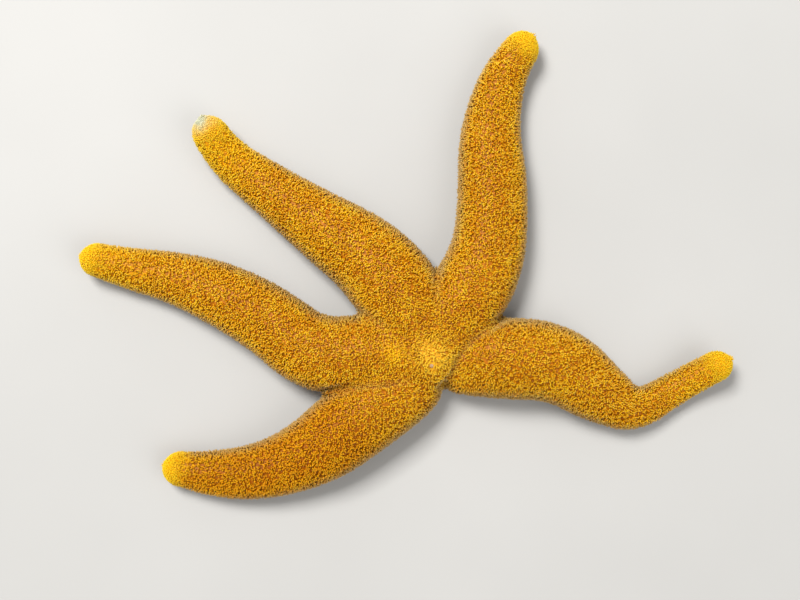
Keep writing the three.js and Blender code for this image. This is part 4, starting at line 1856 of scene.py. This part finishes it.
class Finish:
    """A material in the making, with short ways to add the nodes that its finish needs."""

    def __init__(self, name: str) -> None:
        """Start a material.

        Args:
            name: The material's name.
        """
        self.material = bpy.data.materials.new(name)
        self.material.use_nodes = True
        self.tree = self.material.node_tree
        self.shader = next(node for node in self.tree.nodes if node.type == "BSDF_PRINCIPLED")
        self.place = self.tree.nodes.new("ShaderNodeTexCoord").outputs["Object"]

    def node(self, kind: str, **links: Socket) -> bpy.types.Node:
        """Add a node.

        Args:
            kind: Its type.
            links: The sockets that its inputs of those names are linked to.

        Returns:
            The node.
        """
        node = self.tree.nodes.new(kind)
        for name, source in links.items():
            self.tree.links.new(source, node.inputs[name])
        return node

    @staticmethod
    def settings(node: bpy.types.Node, **values: float | tuple[float, ...]) -> None:
        """Set sockets of a node, named with underscores for spaces."""
        for name, value in values.items():
            node.inputs[name.replace("_", " ")].default_value = value

    def noise(self, scale: float, detail: float = 3.0, roughness: float = 0.5) -> Socket:
        """Add noise in space.

        Args:
            scale: How many waves it has per metre.
            detail: How many finer waves it has on them.
            roughness: How strong these are.

        Returns:
            The noise, about 0.5 on the mean.
        """
        node = self.node("ShaderNodeTexNoise", Vector=self.place)
        self.settings(node, Scale=scale, Detail=detail, Roughness=roughness)
        return node.outputs["Fac"]

    def tone(self, name: str) -> Socket:
        """Read a number that the piece's points carry.

        Args:
            name: The number's name.

        Returns:
            The number.
        """
        node = self.node("ShaderNodeAttribute")
        node.attribute_name = name
        return node.outputs["Fac"]

    def ramp(self, by: Socket, stops: Stops) -> Socket:
        """Turn a number into a colour.

        Args:
            by: The number.
            stops: The places and colours of the ramp.

        Returns:
            The ramp's colour at the number.
        """
        node = self.node("ShaderNodeValToRGB", Fac=by)
        elements = node.color_ramp.elements
        while len(elements) < len(stops):
            elements.new(0.5)
        for element, (at, _) in zip(elements, stops):
            element.position = at
        for element, (_, code) in zip(elements, stops):
            element.color = linear(code)
        return node.outputs["Color"]

    def stretch(self, by: Socket, low: float, high: float, to: float = 1.0) -> Socket:
        """Stretch a number, so that it runs from 0 at low up to the given end at high.

        Args:
            by: The number.
            low: What becomes 0.
            high: What becomes the end.
            to: The end.

        Returns:
            The stretched number, held between 0 and the end.
        """
        node = self.node("ShaderNodeMapRange", Value=by)
        self.settings(node, From_Min=low, From_Max=high, To_Min=0.0, To_Max=to)
        return node.outputs["Result"]

    def blend(self, share: Socket, first: Socket, second: Socket) -> Socket:
        """Blend two colours.

        Args:
            share: How much of the second there is, from 0 to 1.
            first: The first colour.
            second: The second colour.

        Returns:
            The blended colour.
        """
        node = self.node("ShaderNodeMix")
        node.data_type = "RGBA"
        for name, source in (("Factor", share), ("A", first), ("B", second)):
            self.tree.links.new(source, node.inputs[name])
        return node.outputs["Result"]

    def marked(self, colour: Socket, by: Socket, **ramps: Stops) -> Socket:
        """Lay markings over a colour, one after the other.

        Args:
            colour: The colour.
            by: The number that the markings' ramps are read at.
            ramps: The ramp of each marking. The tone of its name says how much of it there is.

        Returns:
            The colour with all markings.
        """
        for name, stops in ramps.items():
            colour = self.blend(self.tone(name), colour, self.ramp(by, stops))
        return colour

    def bump(self, height: Socket, distance: float, strength: float = 1.0) -> None:
        """Give the surface a relief.

        Args:
            height: The relief's height at each place.
            distance: How high it is in all, in metres.
            strength: How much of it is felt.
        """
        node = self.node("ShaderNodeBump", Height=height)
        self.settings(node, Distance=distance, Strength=strength)
        self.tree.links.new(node.outputs["Normal"], self.shader.inputs["Normal"])

    def flesh(self) -> None:
        """Let half of the light scatter under the surface, over a few tenths of a millimetre."""
        self.settings(self.shader, Subsurface_Weight=0.5, Subsurface_Scale=0.0004)
        self.settings(self.shader, Subsurface_Radius=(1.0, 0.95, 0.8))

    def finished(self, colour: Socket, **values: float) -> bpy.types.Material:
        """Give the surface its colour and finish.

        Args:
            colour: The colour.
            values: The shader's settings, named with underscores for spaces.

        Returns:
            The material.
        """
        self.settings(self.shader, **values)
        self.tree.links.new(colour, self.shader.inputs["Base Color"])
        return self.material


@dataclass(frozen=True)
class SkinFinish:
    """The soft skin: golden brown in the pits and cream in the furrows, with the markings laid over."""

    pits: Stops = ((0.35, "a86400"), (0.55, "b67200"), (0.72, "b47218"))
    # Deep orange: the skin's own slow swells, and painted shade on the fourth arm.
    deep: Stops = ((0.35, "8e4e00"), (0.7, "a45c00"))
    # Painted haze on the flanks and painted shade in the creases.
    tan: Stops = ((0.3, "825a1c"), (0.7, "a27a36"))
    furrow: Stops = ((0.3, "c09868"), (0.7, "d8b88c"))
    yellow: Stops = ((0.3, "dca000"), (0.7, "f0b804"))
    pale: Stops = ((0.3, "b4ae8c"), (0.7, "c8c4a4"))
    roughness: float = 0.5
    shine: float = 0.14

    def build(self) -> bpy.types.Material:
        """Make the material: a cloudy noise blends each ramp, and a finer one gives the relief.

        Returns:
            The material.
        """
        finish = Finish("skin")
        clouds = finish.noise(700.0, 4.0)
        markings = {name: getattr(self, name) for name in ("deep", "tan", "yellow", "pale", "furrow")}
        colour = finish.marked(finish.ramp(clouds, self.pits), clouds, **markings)
        finish.bump(finish.noise(4200.0, 2.0), 0.00006)
        finish.flesh()
        return finish.finished(colour, Roughness=self.roughness, Specular_IOR_Level=self.shine)


@dataclass(frozen=True)
class SpineFinish:
    """Orange spines of slightly other tints: painted shade at the root, partly painted highlight at the
    glassy tip.
    """

    # Darker at the root as painted shade among the spines, and paler at the tip, partly the glassy end's own
    # colour and partly painted highlight; the other ramps run up the spine likewise.
    along: Stops = ((0.0, "c28200"), (0.4, "dc9c00"), (0.75, "eab004"), (1.0, "f4d058"))
    # Deep orange: the spines' own darker tints and slow swells, and painted shade on the fourth arm.
    deep: Stops = ((0.0, "a26000"), (0.45, "ca7a00"), (1.0, "e09810"))
    # The furrow and jaw spines' own tan, and painted haze on the flanks and painted shade in the creases.
    tan: Stops = ((0.0, "7a5820"), (0.5, "987230"), (1.0, "be985e"))
    yellow: Stops = ((0.0, "d89a00"), (0.4, "f2b000"), (1.0, "facc20"))
    pale: Stops = ((0.0, "b4b084"), (1.0, "ccccaa"))
    roughness: float = 0.5
    shine: float = 0.13

    def build(self) -> bpy.types.Material:
        """Make the material: all ramps run up the spine, and its own tint and clouds vary the mixture.

        Returns:
            The material.
        """
        finish = Finish("spines")
        rise = finish.tone("rise")
        deep, tan, yellow = (finish.ramp(rise, stops) for stops in (self.deep, self.tan, self.yellow))
        darker = finish.stretch(finish.tone("tint"), 0.35, 0.75)
        colour = finish.blend(darker, finish.ramp(rise, self.along), deep)
        # The deep tone: the coat's own slow swells, and painted shade on the fourth arm.
        colour = finish.blend(finish.tone("deep"), colour, deep)
        clouds = finish.stretch(finish.noise(330.0, 2.0), 0.42, 0.7, 0.3)
        colour = finish.blend(clouds, colour, yellow)
        # Tan: painted haze on the flanks, painted shade in the creases, and the furrow spines' own colour.
        colour = finish.blend(finish.stretch(finish.tone("tan"), 0.0, 1.0, 0.9), colour, tan)
        colour = finish.marked(colour, rise, yellow=self.yellow, pale=self.pale)
        finish.bump(finish.noise(9000.0, 1.0), 0.00001, 0.6)
        finish.flesh()
        return finish.finished(colour, Roughness=self.roughness, Specular_IOR_Level=self.shine)


@dataclass(frozen=True)
class SoftFinish:
    """The soft gills and feet: flesh that changes its tint from root to end, spotted with both tints."""

    name: str
    low: str
    high: str
    roughness: float = 0.35
    shine: float = 0.25

    def build(self) -> bpy.types.Material:
        """Make the material.

        Returns:
            The material.
        """
        finish = Finish(self.name)
        rise = finish.ramp(finish.tone("rise"), ((0.0, self.low), (1.0, self.high)))
        spots = finish.ramp(finish.noise(2600.0), ((0.35, self.low), (0.65, self.high)))
        finish.bump(finish.noise(5200.0), 0.00003)
        colour = finish.blend(finish.tone("tint"), rise, spots)
        return finish.finished(colour, Roughness=self.roughness, Specular_IOR_Level=self.shine)


@dataclass(frozen=True)
class PlateFinish:
    """Bare plates and beads: two colours mottled with a fine grain."""

    name: str
    low: str
    high: str
    roughness: float = 0.6

    def build(self) -> bpy.types.Material:
        """Make the material.

        Returns:
            The material.
        """
        finish = Finish(self.name)
        grain = finish.noise(5200.0, 4.0, 0.6)
        finish.bump(grain, 0.00003)
        colour = finish.ramp(grain, ((0.35, self.low), (0.65, self.high)))
        return finish.finished(colour, Roughness=self.roughness)


@dataclass(frozen=True)
class FloorFinish:
    """A plain pale floor with a hardly visible cloudiness."""

    clouds: Stops = ((0.3, "aba9a5"), (0.7, "b1afab"))
    roughness: float = 0.75

    def build(self) -> bpy.types.Material:
        """Make the material."""
        finish = Finish("floor")
        return finish.finished(finish.ramp(finish.noise(14.0), self.clouds), Roughness=self.roughness)


# ---- the studio ----


@dataclass(frozen=True)
class Lamp:
    """A square lamp that faces the starfish: its name, place in metres, width and power."""

    name: str
    at: tuple[float, float, float]
    width: float
    power: float

    def build(self) -> None:
        """Make the lamp."""
        data = bpy.data.lights.new(self.name, "AREA")
        data.size = self.width
        data.energy = self.power
        lamp = placed(self.name, data)
        lamp.location = self.at
        lamp.rotation_euler = Vector(self.at).to_track_quat("Z", "Y").to_euler()


@dataclass
class Studio:
    """A plain pale floor, soft lights and the camera, which looks straight down."""

    camera_at: tuple[float, float, float] = (-1.05, -6.65, 216.0)
    lens: float = 50.0
    floor_level: float = -0.02
    floor_half: float = 0.6
    room_light: str = "f4f6f8"
    room_strength: float = 0.56
    lamps: tuple[Lamp, ...] = (
        Lamp("key", (-0.2, 0.26, 0.54), 0.22, 5.5),
        Lamp("fill", (0.4, -0.25, 0.45), 0.5, 1.6),
    )

    def build(self) -> None:
        """Make the floor, the lamps, the room's light and the camera."""
        self._floor()
        for lamp in self.lamps:
            lamp.build()
        self._room()
        self._camera()
        bpy.context.scene.view_settings.view_transform = "Standard"

    def _floor(self) -> None:
        """Make the floor, a square round the origin."""
        half, z = self.floor_half, self.floor_level * MM
        mesh = bpy.data.meshes.new("floor")
        corners = [(-half, -half, z), (half, -half, z), (half, half, z), (-half, half, z)]
        mesh.from_pydata(corners, [], [(0, 1, 2, 3)])
        mesh.materials.append(FloorFinish().build())
        placed("floor", mesh)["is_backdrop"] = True

    def _room(self) -> None:
        """Give the room an even light."""
        world = bpy.data.worlds.new("room")
        world.use_nodes = True
        room = next(node for node in world.node_tree.nodes if node.type == "BACKGROUND")
        room.inputs["Color"].default_value = linear(self.room_light)
        room.inputs["Strength"].default_value = self.room_strength
        bpy.context.scene.world = world

    def _camera(self) -> None:
        """Place the camera."""
        data = bpy.data.cameras.new("camera")
        data.lens = self.lens
        data.sensor_width = 36.0
        data.clip_start = 0.005
        camera = placed("camera", data)
        camera.location = [c * MM for c in self.camera_at]
        bpy.context.scene.camera = camera


def write_sizes() -> None:
    """Work out the CAD model's box and the visual model's box as plain lists."""
    boxes = {"cad": CAD_BOX, "visual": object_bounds()}
    plain = {name: [[float(x) for x in corner] for corner in box] for name, box in boxes.items()}


def main() -> None:
    """Build the starfish and its studio."""
    logging.basicConfig(level=logging.INFO, format="%(name)s: %(message)s")
    Studio().build()
    body, markings = Body(), Markings()
    skin = Skin(body)
    arms = np.arange(ARM_COUNT)[:, None, None]
    tones = markings.tones(body, skin.grid, skin.normals, arms, skin.along)
    piece = skin.surface({**tones, "furrow": skin.furrow}).build("skin", SkinFinish().build(), "skin")
    parts = ("base", "middle", "outer", "tip")
    lengths = [f"arm_{k}_{part}" for k in range(1, ARM_COUNT + 1) for part in parts]
    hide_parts("disc", *lengths)
    spine_finish = SpineFinish().build()
    coat = SpineCoat(skin, markings, np.random.default_rng(SEED))
    coat.build(spine_finish)
    gills = Papulae(coat.pits, np.random.default_rng(SEED + 1))
    gills.build(SoftFinish("papulae", "905608", "a46c20").build())
    growth = FurrowGrowth(skin, np.random.default_rng(SEED + 2))
    growth.tube_feet(SoftFinish("tube_feet", "c8a060", "dcc088").build())
    growth.edge_spines(spine_finish)
    Madreporite(skin, markings.sieve).build(PlateFinish("madreporite", "b09068", "c8ae8a").build())
    jaws = Jaws(body, np.random.default_rng(SEED + 3))
    jaws.build(PlateFinish("jaws", "d8c09a", "eee0c4").build())
    jaws.comb(spine_finish)
    Eyespots().build(PlateFinish("eyespots", "7a1c10", "b03420", 0.25).build())
    write_sizes()


if __name__ == "__main__":
    main()
